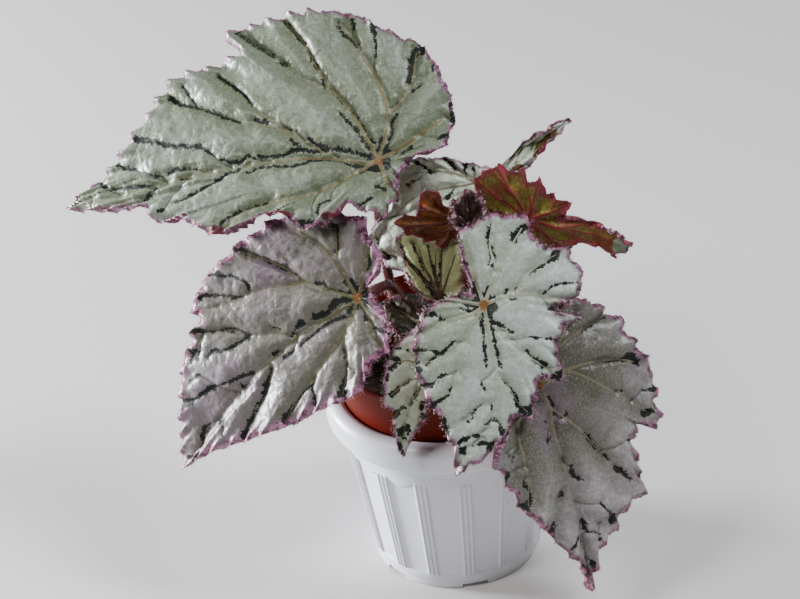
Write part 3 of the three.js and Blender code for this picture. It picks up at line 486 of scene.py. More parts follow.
MARKS = {
    "top_left": [
        [(133, -56, 1.4), (123, -50, 0.8), (116, -48, 1), (85, -33, 0.4)],
        [(122, -60, 0.4), (115, -49, 0.4)],
        [(154, -32, 1.3), (141, -29, 1.2), (132, -25, 1.1), (109, -20, 0.8), (102, -15, 0.7)],
        [(169, -21, 0.9), (164, -17, 0.9), (156, -15, 0.9)],
        [(149, -12, 0.4), (143, -8, 0.4), (137, -7, 0.4)], [(132, -8, 0.3), (126, -9, 0.3), (113, -8, 0.3)],
        [(96, -11, 0.6), (85, -8, 0.6), (79, -11, 0.6), (75, -9, 0.6)], [(181, -10, 0.7), (176, -7, 0.7)],
        [(175, -5, 0.6), (149, -3, 0.5), (140, 0, 0.5), (150, 6, 0.4)], [(123, -3, 0.4), (117, -3, 0.4)],
        [(85, -3, 0.9), (93, -2, 0.9), (98, 2, 0.9), (121, 12, 0.4), (127, 12, 0.4)],
        [(133, 16, 0.7), (136, 17, 0.7)], [(96, 38, 0.9), (93, 28, 0.7), (67, 20, 0.4)],
        [(72, -10, 0.6), (65, -9, 0.6), (56, -9, 0.6), (49, -11, 0.7), (36, -9, 0.7), (31, -10, 0.8),
          (19, -8, 0.8), (5, -3, 0.9)], [(41, -17, 0.9), (36, -13, 0.9), (28, -10, 0.9)],
        [(52, -17, 0.4), (47, -13, 0.4)], [(57, -26, 0.4), (49, -23, 0.4)],
        [(75, -33, 0.8), (67, -30, 0.8)],
        [(72, -3, 0.4), (47, -2, 0.5), (41, -4, 0.6), (21, -2, 0.7), (17, 1, 0.7), (9, 2, 0.7)],
        [(80, -1, 0.3), (78, 0, 0.3), (75, -2, 0.3)], [(35, 30, 0.4), (32, 25, 0.4), (28, 23, 0.4)],
        [(44, 36, 0.9), (38, 35, 0.9)], [(10, 27, 0.5), (3, 24, 0.5)], [(1, 16, 0.6), (-5, 19, 0.6)],
        [(89, -91, 0.7), (65, -72, 0.4)], [(61, -68, 0.3), (56, -65, 0.3)],
        [(59, -95, 0.4), (45, -77, 1.2)], [(43, -73, 0.4), (37, -61, 0.4)],
        [(34, -56, 0.4), (33, -49, 0.4)], [(28, -47, 0.3), (20, -36, 0.3)],
        [(16, -31, 0.7), (12, -26, 0.9)], [(22, -30, 0.5), (13, -20, 0.5), (6, -8, 0.5)],
        [(10, -23, 0.4), (6, -15, 0.4), (2, -11, 0.4)], [(25, -90, 0.7), (24, -85, 0.7), (13, -73, 0.7)],
        [(16, -89, 1), (15, -85, 1)], [(4, -83, 1.2), (2, -78, 0.9), (1, -64, 0.4)],
        [(100, -64, 0.5), (83, -50, 0.4), (77, -42, 0.3)],
        [(-26, -65, 1.2), (-24, -70, 1.7), (-19, -59, 1.2), (-18, -47, 0.7)],
        [(-20, -41, 1), (-24, -44, 0.4)], [(-32, -55, 0.7), (-32, -52, 0.6)],
        [(-35, -11, 0.5), (-40, -13, 0.5)], [(-14, -4, 0.6), (-19, -7, 0.6)],
        [(-9, -31, 0.5), (-12, -35, 0.5)], [(-7, -23, 0.5), (-8, -18, 0.5), (-5, -7, 0.5)],
        [(-11, -27, 0.4), (-8, -23, 0.4)], [(-2, -14, 0.6), (0, -7, 0.6)], [(-4, -6, 0.9), (-10, -5, 0.6)],
        [(4, -8, 0.9), (8, -10, 0.6)], [(5, 3, 0.7), (11, 6, 0.4)], [(-42, -33, 0.6), (-43, -23, 0.6)],
    ],
    "left": [
        [(41, -70, 1), (36, -64, 1.8), (28, -49, 0.5), (24, -43, 1.3), (21, -34, 0.2)],
        [(64, -70, 0.5), (59, -67, 1.3), (57, -63, 0.8), (52, -59, 0.4), (48, -49, 0.5), (50, -47, 0.6)],
        [(79, -64, 1.5), (75, -63, 1.5), (70, -59, 0.6), (56, -46, 0.7)],
        [(94, -52, 2), (84, -43, 0.6), (73, -36, 0.6), (67, -26, 0.8)],
        [(67, -26, 0.5), (86, -30, 1), (91, -34, 1), (97, -35, 1)], [(103, -42, 2.5), (109, -41, 1.8)],
        [(105, -46, 1.3), (104, -38, 1.3)], [(117, -32, 0.4), (109, -30, 0.3)],
        [(131, -25, 3), (119, -21, 1), (109, -20, 1.5), (102, -17, 0.5), (80, -9, 0.9)],
        [(92, -9, 1.3), (92, -6, 0.6)], [(60, -8, 1.6), (64, -8, 0.5)], [(36, -10, 2), (39, -10, 1)],
        [(43, -9, 1.3), (46, -9, 0.5)],
        [(28, -7, 1), (26, -7, 2.3), (21, -5, 1.5), (11, -6, 2.3), (4, -1, 1)],
        [(44, -1, 0.5), (28, 0, 0.7), (17, 2, 0.9), (14, 4, 1)], [(58, -2, 0.6), (50, -1, 0.4)],
        [(69, -3, 0.3), (77, 1, 1.4), (90, 8, 0.6), (103, 11, 0.6), (112, 15, 2)],
        [(142, 0, 0.7), (131, -6, 2), (127, -6, 1)],
        [(120, -2, 0.4), (117, -1, 0.6), (119, 3, 0.5), (122, 5, 0.6)],
        [(82, 26, 1.5), (59, 21, 0.5), (53, 22, 1)], [(54, 23, 0.9), (59, 33, 0.4)],
        [(25, 18, 0.8), (28, 25, 0.6), (32, 30, 0.5), (41, 37, 1.8)], [(45, 36, 1.3), (39, 39, 2)],
        [(2, 21, 0.6), (-3, 29, 0.5)], [(26, 33, 0.6), (27, 34, 0.6)], [(-4, -10, 1.3), (-2, -4, 1.6)],
        [(0, -12, 0.7), (1, -9, 0.7)], [(-20, -14, 1.5), (-19, -11, 1.1), (-13, -8, 0.3)],
        [(-8, -4, 0.6), (-6, -2, 0.5)], [(-16, -41, 1.3), (-8, -29, 0.6), (-6, -29, 0.3)],
        [(52, -21, 0.6), (49, -17, 0.5)], [(13, -22, 0.8), (10, -18, 0.3)], [(9, 3, 0.7), (9, 7, 0.3)],
        [(2, 9, 0.4), (3, 14, 0.3)], [(3, -5, 0.7), (10, -14, 0.3)],
        [(157, -2, 0.7), (153, 1, 1.5), (147, 3, 1)],
    ],
    "front": [
        [(-46, -2, 0.4), (-40, -3, 1.4), (-34, -2, 0.4)],
        [(-33, -1, 1.5), (-30, -1, 0.4), (-26, 0, 0.3), (-23, -1, 0.3)],
        [(-30, 1, 0.3), (-26, 3, 0.4), (-22, 1, 0.3)], [(-47, 16, 1.8), (-40, 11, 2.1)],
        [(-42, 10, 0.9), (-38, 13, 0.7)], [(-36, 37, 1), (-34, 36, 2.7), (-30, 33, 0.8), (-22, 23, 0.9)],
        [(-20, 51, 0.5), (-17, 38, 0.5), (-11, 32, 0.3)], [(-10, 51, 1), (-6, 50, 1.6), (-7, 43, 0.4)],
        [(-8, 11, 0.4), (-10, 12, 0.7)], [(-10, 16, 0.4), (-12, 17, 0.4)], [(-5, 15, 0.3), (-6, 17, 0.3)],
        [(-12, -7, 0.7), (-7, -5, 1.8), (-5, -2, 1.6)], [(-10, 1, 0.9), (-5, 1, 1.6)],
        [(-6, 5, 0.5), (-3, 6, 0.4)], [(-2, -14, 0.3), (1, -9, 1.8), (1, -3, 1.6)],
        [(4, -14, 0.4), (5, -6, 0.4)], [(-1, -11, 0.5), (0, -9, 0.6)],
        [(11, -32, 1.3), (10, -27, 1), (12, -21, 0.4)],
        [(31, -36, 1), (30, -25, 0.4), (31, -21, 1.3), (23, -14, 0.7)], [(33, -23, 0.7), (38, -27, 0.4)],
        [(39, -33, 2.3), (41, -31, 1.6)], [(51, -27, 2.3), (48, -22, 0.7), (44, -19, 0.5), (42, -15, 0.5)],
        [(61, -21, 1.5), (54, -13, 0.8), (49, -11, 0.8)], [(62, 3, 0.5), (55, 8, 0.4)],
        [(79, -2, 1.6), (73, 8, 0.6)], [(67, 1, 0.4), (64, 4, 0.3)], [(84, 1, 1.8), (82, 2, 1)],
        [(80, 7, 0.4), (77, 13, 0.6), (78, 16, 1.9)],
        [(70, 22, 1.5), (65, 19, 0.6), (63, 15, 0.4), (66, 12, 0.2)],
        [(55, 34, 2.8), (55, 30, 1.5), (45, 23, 0.5), (40, 17, 0.3)], [(8, 0, 1), (35, 7, 0.4)],
        [(7, 5, 1), (33, 14, 0.7)], [(9, 7, 1), (10, 11, 1.5), (11, 13, 0.4)],
        [(12, 16, 0.3), (13, 19, 0.7)], [(22, 28, 1.1), (25, 31, 0.9), (28, 39, 1.8)],
        [(30, 38, 1), (28, 39, 1)], [(14, 27, 0.3), (13, 46, 0.4)], [(33, 48, 2.8), (35, 45, 1.1)],
        [(34, 41, 0.4), (33, 38, 0.3)], [(27, 48, 0.5), (27, 50, 0.6)], [(43, 5, 0.5), (48, 8, 0.3)],
        [(55, 13, 0.3), (59, 14, 0.3)], [(75, -9, 1), (67, -13, 1.6)], [(-3, 37, 0.6), (-4, 39, 1)],
        [(-22, -15, 0.4), (-21, -13, 0.3)],
    ],
    "right_hanging": [
        [(-21, 60, 1.3), (-18, 37, 0.3)], [(-29, 34, 0.5), (-23, 28, 0.3)],
        [(13, 64, 1.9), (6, 59, 2.2), (7, 56, 1.5), (1, 37, 0.2)], [(32, 70, 1.8), (29, 61, 0.6)],
        [(43, 64, 1.1), (43, 60, 2.3), (41, 57, 1.3)], [(23, 44, 0.6), (23, 45, 0.6)],
        [(24, 48, 0.5), (24, 49, 0.5)], [(53, 44, 0.7), (54, 45, 0.7)],
        [(77, 39, 0.6), (68, 33, 2), (65, 31, 1.2)],
        [(59, 28, 0.8), (51, 23, 0.7), (41, 20, 1.2), (38, 18, 0.4)],
        [(9, 4, 0.9), (13, 5, 0.9), (17, 4, 0.7), (23, 6, 0.6), (23, 10, 1), (21, 11, 0.8)],
        [(21, -3, 0.7), (22, -3, 0.7)], [(28, -4, 0.6), (32, -6, 1), (31, -3, 0.4)],
        [(53, 4, 0.6), (58, 4, 1.6), (65, 10, 0.3)], [(66, -6, 1.1), (68, -8, 0.5)],
        [(39, -37, 2), (41, -39, 1.7)],
        [(48, -27, 0.6), (51, -28, 0.5), (53, -26, 0.6), (59, -26, 0.7), (62, -29, 2.2)],
        [(82, -16, 1.6), (85, -18, 1.2)], [(88, 3, 1.1), (93, 3, 1.6)],
        [(83, 17, 0.8), (88, 19, 0.5), (95, 23, 2), (98, 21, 1.8)],
        [(96, 3, 0.5), (98, 8, 0.5), (102, 12, 0.3)], [(105, 11, 1), (106, 12, 0.7)],
        [(97, -3, 1.1), (103, -9, 0.8)], [(100, -1, 0.6), (104, -1, 0.5)], [(117, -4, 1), (120, -1, 0.5)],
        [(116, 3, 1.4), (120, 3, 1.1)], [(31, -29, 0.3), (34, -32, 0.3)], [(63, -31, 2.2), (61, -34, 1.2)],
        [(27, -33, 0.4), (30, -32, 0.3)],
    ],
    "small_front": [
        [(18, -17, 1.6), (19, -14, 1.8), (24, -18, 0.9)], [(28, -18, 1.3), (30, -18, 1)],
        [(39, -14, 1.8), (33, -10, 0.6)], [(51, -10, 1.3), (45, -6, 0.7), (45, -4, 1)],
        [(61, -5, 1.6), (59, -4, 2.6), (55, 0, 1.3)], [(60, 0, 1.1), (57, 1, 0.8)],
        [(40, 5, 1.3), (43, 5, 1)], [(46, 7, 1.3), (48, 6, 0.8)], [(12, -17, 0.5), (11, -10, 0.3)],
        [(67, -4, 1), (74, 0, 0.5)], [(28, -5, 0.2), (32, -9, 0.3)], [(31, 1, 0.2), (42, -2, 0.2)],
        [(29, 2, 0.2), (39, 0, 0.2)], [(63, -1, 0.6), (65, 1, 0.4)],
    ],
    "back": [
        [(-6, 30, 1.1), (-6, 22, 0.8)], [(0, 21, 1.1), (-3, 15, 0.4)], [(-20, 38, 1.2), (-18, 29, 0.3)],
        [(-14, 13, 0.6), (-20, 12, 1.1)], [(-72, 13, 1.1), (-73, 9, 1.3)],
        [(-27, 31, 0.4), (-32, 33, 0.3), (-34, 32, 0.3)], [(3, 16, 0.7), (2, 12, 0.4)],
        [(-70, 22, 0.4), (-71, 18, 0.6)],
    ],
    "young_green": [
        [(0, 0, 3.2), (6, 4, 1.4), (16, 8, 0.9), (23, 13, 1.1), (35, 15, 0.4)],
        [(5, 1, 0.3), (25, 7, 0.3), (33, 8, 0.4)], [(1, 0, 1.1), (9, -1, 0.3), (30, 0, 0.3)],
        [(3, -1, 0.3), (26, -8, 0.2)],
    ],
}


def vein_lines(name):
    """Smooth lines of the main veins with their half widths: wide at the joint, thin at the end"""
    leaf = LEAVES[name]
    rows = VEINS.get(name) or [[(0, 0), (p[0] * 0.5, p[1] * 0.5), (p[0] * 0.97, p[1] * 0.97)]
                               for p in leaf["edge"] if len(p) > 2]
    reach = np.linalg.norm(leaf["edge"][0][:2])
    size = 0.5 + 0.5 * min(1, reach / 100)
    lines = []
    for row in rows:
        line = smooth_curve(row, np.linspace(0, len(row) - 1, 5 * len(row)))
        away = np.linalg.norm(line, axis=1)
        width = 0.8 * size * np.exp(-away / (0.4 * reach)) + 0.06
        if away[0] > 6:
            width = width * 0.6
        lines.append(np.c_[line, width])
    return lines


def mark_lines(name):
    """Smooth lines of the marks with their half widths"""
    lines = []
    for row in MARKS.get(name, []):
        count = 4 * len(row) if len(row) > 2 else 2
        places = np.linspace(0, len(row) - 1, count)
        width = np.interp(places, range(len(row)), [p[2] for p in row])
        lines.append(np.c_[smooth_curve([p[:2] for p in row], places), width])
    return lines


def run_on(marks, veins):
    """The side veins that the marks lie on: each runs on to a main vein, which it meets at a
    sharp angle on the joint's side"""
    targets = np.concatenate([v[:, :2] for v in veins])
    lines = []
    for mark in marks:
        line = mark[:, :2]
        if np.linalg.norm(line[0]) < np.linalg.norm(line[-1]):
            line = line[::-1]
        away = np.linalg.norm(targets - line[-1], axis=1)
        if away.min() > 3:
            nearer = np.linalg.norm(targets, axis=1) < np.linalg.norm(line[-1]) - 0.5 * away
            end = targets[int(np.argmin(np.where(nearer, away, np.inf)))]
            middle = 0.5 * (line[-1] + end) + 0.12 * (targets[int(np.argmin(away))] - end)
            line = np.concatenate([line, [middle, end]])
        lines.append(np.c_[line, np.full(len(line), SIDE_VEIN)])
    return lines


def between_veins(blade, spacing):
    """Side veins by rule, for where marks don't show them: in each field between two main veins
    they leave both in turn and end at the edge"""
    number = len(blade.ends)
    corners = [p[:2] for p in blade.leaf["edge"] if len(p) > 2]
    first = [int(np.argmin(np.linalg.norm(blade.ends - p, axis=1))) for p in corners]
    lines = []
    for start, stop in zip(first, first[1:] + [first[0] + number]):
        index = np.arange(start, stop + 1) % number
        span = (stop - start) / number * blade.around
        count = max(1, int(span / spacing))
        for i, side in [(i, side) for i in range(count) for side in (0, 1)]:
            begin = 0.16 + 0.7 * (i + 0.5 * side) / count
            reach = 0.44 - 0.36 * (i + 0.3 * side) / count
            line = []
            for s in np.linspace(0, 1, 9):
                way = reach * s ** 0.85
                k = index[int(round((way if side == 0 else 1 - way) * (len(index) - 1)))]
                q = begin + (0.98 - begin) * s
                bow = blade.bows[k] * 4 * q * (1 - q) / blade.reach[k]
                a, b = blade.ends[k]
                line.append((a * q - b * bow, b * q + a * bow, SIDE_VEIN))
            lines.append(np.array(line))
    return lines


def apart(places, lines):
    """The least distance from any of the places to the points of some lines"""
    others = np.concatenate([line[:, :2] for line in lines])
    return np.linalg.norm(places[:, None] - others[None], axis=2).min()


def side_vein_lines(blade, veins, marks, spacing):
    """The side veins under the marks, and those by rule that keep clear of all the others"""
    lines = run_on(marks, veins)
    if not spacing:
        return lines
    taken = list(marks)
    for line in between_veins(blade, spacing):
        if not taken or apart(line[3:, :2], taken) > 0.4 * spacing:
            taken.append(line)
            lines.append(line)
    return lines


def inside(places, loop):
    """Which places lie inside a closed loop"""
    result = np.zeros(len(places), bool)
    x, y = places[:, 0], places[:, 1]
    for (x0, y0), (x1, y1) in zip(loop, np.roll(loop, -1, axis=0)):
        if y0 != y1:
            crossing = ((y0 > y) != (y1 > y)) & (x < (x1 - x0) * (y - y0) / (y1 - y0) + x0)
            result ^= crossing
    return result


def nearest(places, targets):
    """Distance from each place to the nearest of the targets"""
    tree = KDTree(len(targets))
    for i, (x, y) in enumerate(targets):
        tree.insert((x, y, 0), i)
    tree.balance()
    return np.array([tree.find((x, y, 0))[2] for x, y in places])


def turns_left(corners):
    (x0, y0), (x1, y1), (x2, y2) = corners[:3]
    return (x1 - x0) * (y2 - y0) - (x2 - x0) * (y1 - y0) > 0


def face_net(loop, gap):
    """Places and triangles of an even net inside a loop, and where the loop's places are in it"""
    low, high = loop.min(0), loop.max(0)
    rows = np.arange(low[1], high[1], gap * ROW)
    steps = np.arange(low[0], high[0], gap)
    net = np.array([(x + (gap / 2 if r % 2 else 0), y) for r, y in enumerate(rows) for x in steps])
    net = net[inside(net, loop)]
    net = net[nearest(net, loop) > gap * 0.6]
    places = np.concatenate([loop, net])
    count = len(loop)
    edges = [(i, (i + 1) % count) for i in range(count)]
    made, _, faces, origin, _, _ = delaunay_2d_cdt([Vector(p) for p in places], edges, [], 1, 1e-4)
    faces = [f if turns_left([made[i] for i in f]) else f[::-1] for f in faces]
    where = {source: i for i, sources in enumerate(origin) for source in sources}
    return np.array([tuple(p) for p in made]), faces, [where[i] for i in range(count)]


# The fine relief of the blades, in mm

ROW = 0.866                          # height of an even triangle whose side is 1
BLADE = 0.7                          # real blades are about half a millimetre thick
RIM, RIM_IN = 0.35, 5                # thickness at the very edge, and width of the thin rim
TEETH = 2.4                          # spacing of the finer teeth on a large leaf
COARSE = 0.85                        # depth of the coarse teeth, the finer ones' being 1
JAG, UNEVEN = 0.25, 0.2              # the edge's smallest zigzag, and how uneven it is
SIDE_VEIN = 0.1                      # half width of a side vein
VALLEY = 7                           # on a large leaf, how far from a main vein a dome rises
PILLOW, PILLOW_IN = 1.5, 2.8         # height between the side veins, and how far from one it rises
PUCKERS = [(0.9, 12), (0.3, 5)]      # heights and sizes
NET, NET_CELL = 0.25, 6              # height and size of the finest veins' cells
RUFFLE, RUFFLE_IN = 1.5, 4           # height of the ruffles, and how far in from the edge they go
RUFFLE_TURN = 2.1                    # length of edge for each radian of a ruffle
FURROW, FURROW_W = 0.7, 1.8          # depth and half width of the furrow along a main vein
LIP = 1.8                            # how high a rolled edge stands
HAIRLINE = 0.45                      # half width that every mark keeps along its middle
UNMARKED = 9.0                       # stands for the distance to a mark on a leaf without marks
UNDER_GAP = 1.8                      # how much wider the mesh below is than the one above
PATTERN_SHIFT = 50.0                 # how far apart the leaves lie in the patterns of their skin


@dataclass
class Look:
    """How a fine blade differs from its plain solid. Lengths in mm, strengths against 1"""
    slot: str
    gap: float = 0.75                # between the points of its mesh
    relief: float = 1.0              # strength of pillows, puckers and net
    ruffle: float = 1.0              # strength of the ruffles
    teeth: float = 0.12              # the teeth's depth as a part of their spacing
    spacing: float = 0               # of the side veins by rule, 0 where there are none
    grow: float = 0.0                # how much wider the marks are than in their table
    lips: list = field(default_factory=list)    # middles and half sizes of rolled edges
    lip_side: int = 1                # 1 where these roll over the upper side, -1 over the lower


def cut_edge(blade, teeth, rng):
    """The edge on the flat blade: coarse teeth as wide as the solid's, with finer ones on them"""
    number = len(blade.ends)
    tooth = 2 * np.abs(blade.counts % 2 - 1) - 1
    uneven = 0.5 + rng.random(blade.whole + 2)
    notch = COARSE * teeth * blade.step * tooth * uneven[np.round(blade.counts / 2).astype(int)]
    step = TEETH * blade.step / TOOTH_STEP
    count = int(blade.around / step) + 2
    bites = np.interp(blade.lengths, step * np.arange(count), rng.uniform(-1, 1, count))
    notch = notch + teeth * blade.step * bites
    zigzag = np.where(np.arange(number) % 2 == 0, 1, -1)
    notch = notch + JAG * zigzag + rng.uniform(-UNEVEN, UNEVEN, number)
    return blade.ends + unit(blade.ends) * notch[:, None]


def distances(flat, veins, sides, loop):
    """How far flat places lie from the main veins, the side veins, the edge and the joint"""
    return dict(vein=line_distance(flat, veins), side=line_distance(flat, sides),
                rim=nearest(flat, loop), star=np.hypot(flat[:, 0], flat[:, 1]))


def lip_place(flat, lip):
    """0 in the middle of a rolled edge, 1 where it ends"""
    (a, b), (half_a, half_b) = lip
    return ((flat[:, 0] - a) / half_a) ** 2 + ((flat[:, 1] - b) / half_b) ** 2


def heights(blade, flat, far, seed, look):
    """How high flat places lie over the plain blade: domes and waves as on the solid, ruffles
    near the edge, pillows, puckers and net between the veins, and a furrow along main veins"""
    leaf = blade.leaf
    main, side = np.maximum(far["vein"], 0), np.maximum(far["side"], 0)
    rim, near = far["rim"], far["star"]
    size = blade.reach.max()
    valley = VALLEY * min(1, size / 100)
    dome = leaf["dome"] * (1 - np.exp(-main / valley))
    dome = 1.2 * dome * np.minimum(1, near / (3.5 * valley))

    q, spoke = blade.spoke_place(flat)
    count = blade.between(blade.counts, blade.whole, spoke)
    reach = blade.between(blade.reach, blade.reach[0], spoke)
    wave = leaf["wave"] * np.minimum(1, reach / FULL_SWELL)
    wave = wave * q ** 3 * np.sin(count * math.pi / 3)
    passed = blade.between(blade.lengths, blade.around, spoke)
    uneven = noise_at(np.c_[passed, passed * 0, passed * 0], 30, seed)
    swing = np.sin(passed / RUFFLE_TURN + 2.5 * uneven)
    swell = min(1, size / 2 / FULL_SWELL)
    curl = look.ruffle * swell * RUFFLE * swing * np.exp(-rim / RUFFLE_IN)

    pillow = look.relief * PILLOW * (1 - np.exp(-side / PILLOW_IN))
    pucker = look.relief * layered(in_space(flat), PUCKERS, seed)
    net = NET * look.relief * cell_walls(flat, NET_CELL, seed)
    fade = np.minimum(1, rim / 3) * np.minimum(1, near / 12)
    shape = dome + wave + curl + (pillow + pucker + net) * fade
    for lip in look.lips:
        shape = shape + look.lip_side * LIP * np.sqrt(np.maximum(0, 1 - lip_place(flat, lip)))
    return shape - FURROW * np.exp(-(main / FURROW_W) ** 2) * np.minimum(1, near / 10)


def half_thickness(far):
    return (RIM + (BLADE - RIM) * np.minimum(1, far["rim"] / RIM_IN)) / 2


def ridges_above(far):
    """The main veins, which stand up a little in their furrows, less so further out"""
    return 0.6 * np.exp(-(np.maximum(far["vein"] + 0.2, 0) / 0.6) ** 2 - far["star"] / 90)


def ribs_below(far):
    """The main and side veins as ribs under the blade, and the hub where they meet the stalk"""
    rib = 1.1 * np.exp(-(np.maximum(far["vein"], 0) / 0.9) ** 2 - far["star"] / 70)
    rib = rib + 0.35 * np.exp(-(np.maximum(far["side"], 0) / 0.8) ** 2)
    hub = 0.9 * np.exp(-(far["star"] / 4) ** 2)
    return (rib + hub) * np.minimum(1, far["rim"] / 3)


def mark_distance(flat, marks, grow, seed):
    """How far flat places lie outside the marks, whose outlines are torn by noise"""
    if not marks:
        return np.full(len(flat), UNMARKED)
    hairlines = [np.c_[line[:, :2], np.full(len(line), HAIRLINE)] for line in marks]
    torn = line_distance(flat, marks) - grow + 0.4 * noise_at(in_space(flat), 2.2, seed)
    torn = torn - 1.5 * np.maximum(0, noise_at(in_space(flat), 4, seed + 3))
    return np.minimum(torn, line_distance(flat, hairlines))


def on_lips(faces, flat, lips):
    """Which faces lie on rolled edges, and so show the blade's other side"""
    middles = np.array([flat[list(f)].mean(0) for f in faces])
    hit = np.zeros(len(faces), bool)
    for lip in lips:
        hit |= lip_place(middles, lip) < 1
    return hit


def build_blade(name, look, upper_finish, lower_finish):
    """A fine blade: pleated between the veins, quilted by the side veins, with a cut edge. Gives
    the points of its edge, the ways out from it, its length and the leaf's random numbers"""
    seed = sorted(LEAVES).index(name) + 1
    rng = np.random.default_rng(seed)
    blade = Blade(LEAVES[name])
    blade.spokes()
    loop = cut_edge(blade, look.teeth, rng)
    veins, marks = vein_lines(name), mark_lines(name)
    sides = side_vein_lines(blade, veins, marks, look.spacing)

    upper_flat, upper_faces, upper_loop = face_net(loop, look.gap)
    lower_flat, lower_faces, lower_loop = face_net(loop, look.gap * UNDER_GAP)
    above = distances(upper_flat, veins, sides, loop)
    below = distances(lower_flat, veins, sides, loop)
    high = heights(blade, upper_flat, above, seed, look) + ridges_above(above)
    low = heights(blade, lower_flat, below, seed, look) - half_thickness(below)
    upper = blade.lifted(upper_flat, high + half_thickness(above))
    lower = blade.lifted(lower_flat, low - ribs_below(below))

    first, number = len(upper), len(loop)
    faces = list(upper_faces) + [[first + i for i in reversed(f)] for f in lower_faces]
    for c in range(number):
        n = (c + 1) % number
        faces.append((upper_loop[c], first + lower_loop[c], first + lower_loop[n], upper_loop[n]))
    kinds = np.concatenate([on_lips(upper_faces, upper_flat, look.lips),
                            ~on_lips(lower_faces, lower_flat, look.lips), np.zeros(number, bool)])
    flat = np.concatenate([upper_flat, lower_flat])
    values = {key: np.concatenate([above[key], below[key]]) for key in above}
    values["flat"] = np.c_[flat, np.full(len(flat), seed * PATTERN_SHIFT)]
    values["dark"] = mark_distance(flat, marks, look.grow, seed)
    piece = mesh_piece("blade_" + name, np.concatenate([upper, lower]), faces,
                       [upper_finish, lower_finish], kinds, values)
    set_up(piece, look.slot, "leaf_" + name)

    rim = upper[upper_loop]
    ahead = unit(np.roll(rim, -1, axis=0) - np.roll(rim, 1, axis=0))
    out = unit(np.cross(ahead, blade.up(loop[:, 0], loop[:, 1])))
    return rim, out, blade.around, rng


def hair_piece(name, roots, aims, sizes, width, finish, slot, rng):
    """Threads from roots along aims, in mm: three-sided, bent, and ending in a point. Real hairs
    are 0.05 mm thick, and these are drawn at three times that, so that they show"""
    count = len(roots)
    aims = unit(aims)
    other = unit(np.cross(aims, rng.normal(size=(count, 3))))
    third = np.cross(aims, other)
    bend = other * rng.uniform(-0.25, 0.25, (count, 1))
    sizes = np.asarray(sizes)[:, None]
    rows = []
    for way, thick in ((0.0, 1.0), (0.5, 0.75)):
        middle = roots + aims * sizes * way + bend * sizes * way ** 2
        for k in range(3):
            turn = 2 * math.pi * k / 3
            out = other * math.cos(turn) + third * math.sin(turn)
            rows.append(middle + out * width / 2 * thick)
    rows.append(roots + aims * sizes + bend * sizes)
    points = np.stack(rows, 1).reshape(-1, 3)
    pattern = []
    for k in range(3):
        n = (k + 1) % 3
        pattern += [(k, n, n + 3), (k, n + 3, k + 3), (k + 3, n + 3, 6)]
    pattern = np.array(pattern + [(2, 1, 0)])
    faces = (pattern[None] + 7 * np.arange(count)[:, None, None]).reshape(-1, 3)
    tips = np.tile([0, 0, 0, 0.5, 0.5, 0.5, 1.0], count)
    set_up(mesh_piece(name, points, faces, [finish], marks={"way": tips}), slot)


# Finishes of the leaves. Their patterns lie on the flat blade, with sizes in mm

BLACK_GREEN = "#10150d"
STAR_R = 3.6                         # reach of the brown star over the stalk
SATIN = 0.35                         # roughness of the silver
TORN_FULL, TORN_END = 4.4, 4.65      # torn distance at which a mark starts to fade, and ends


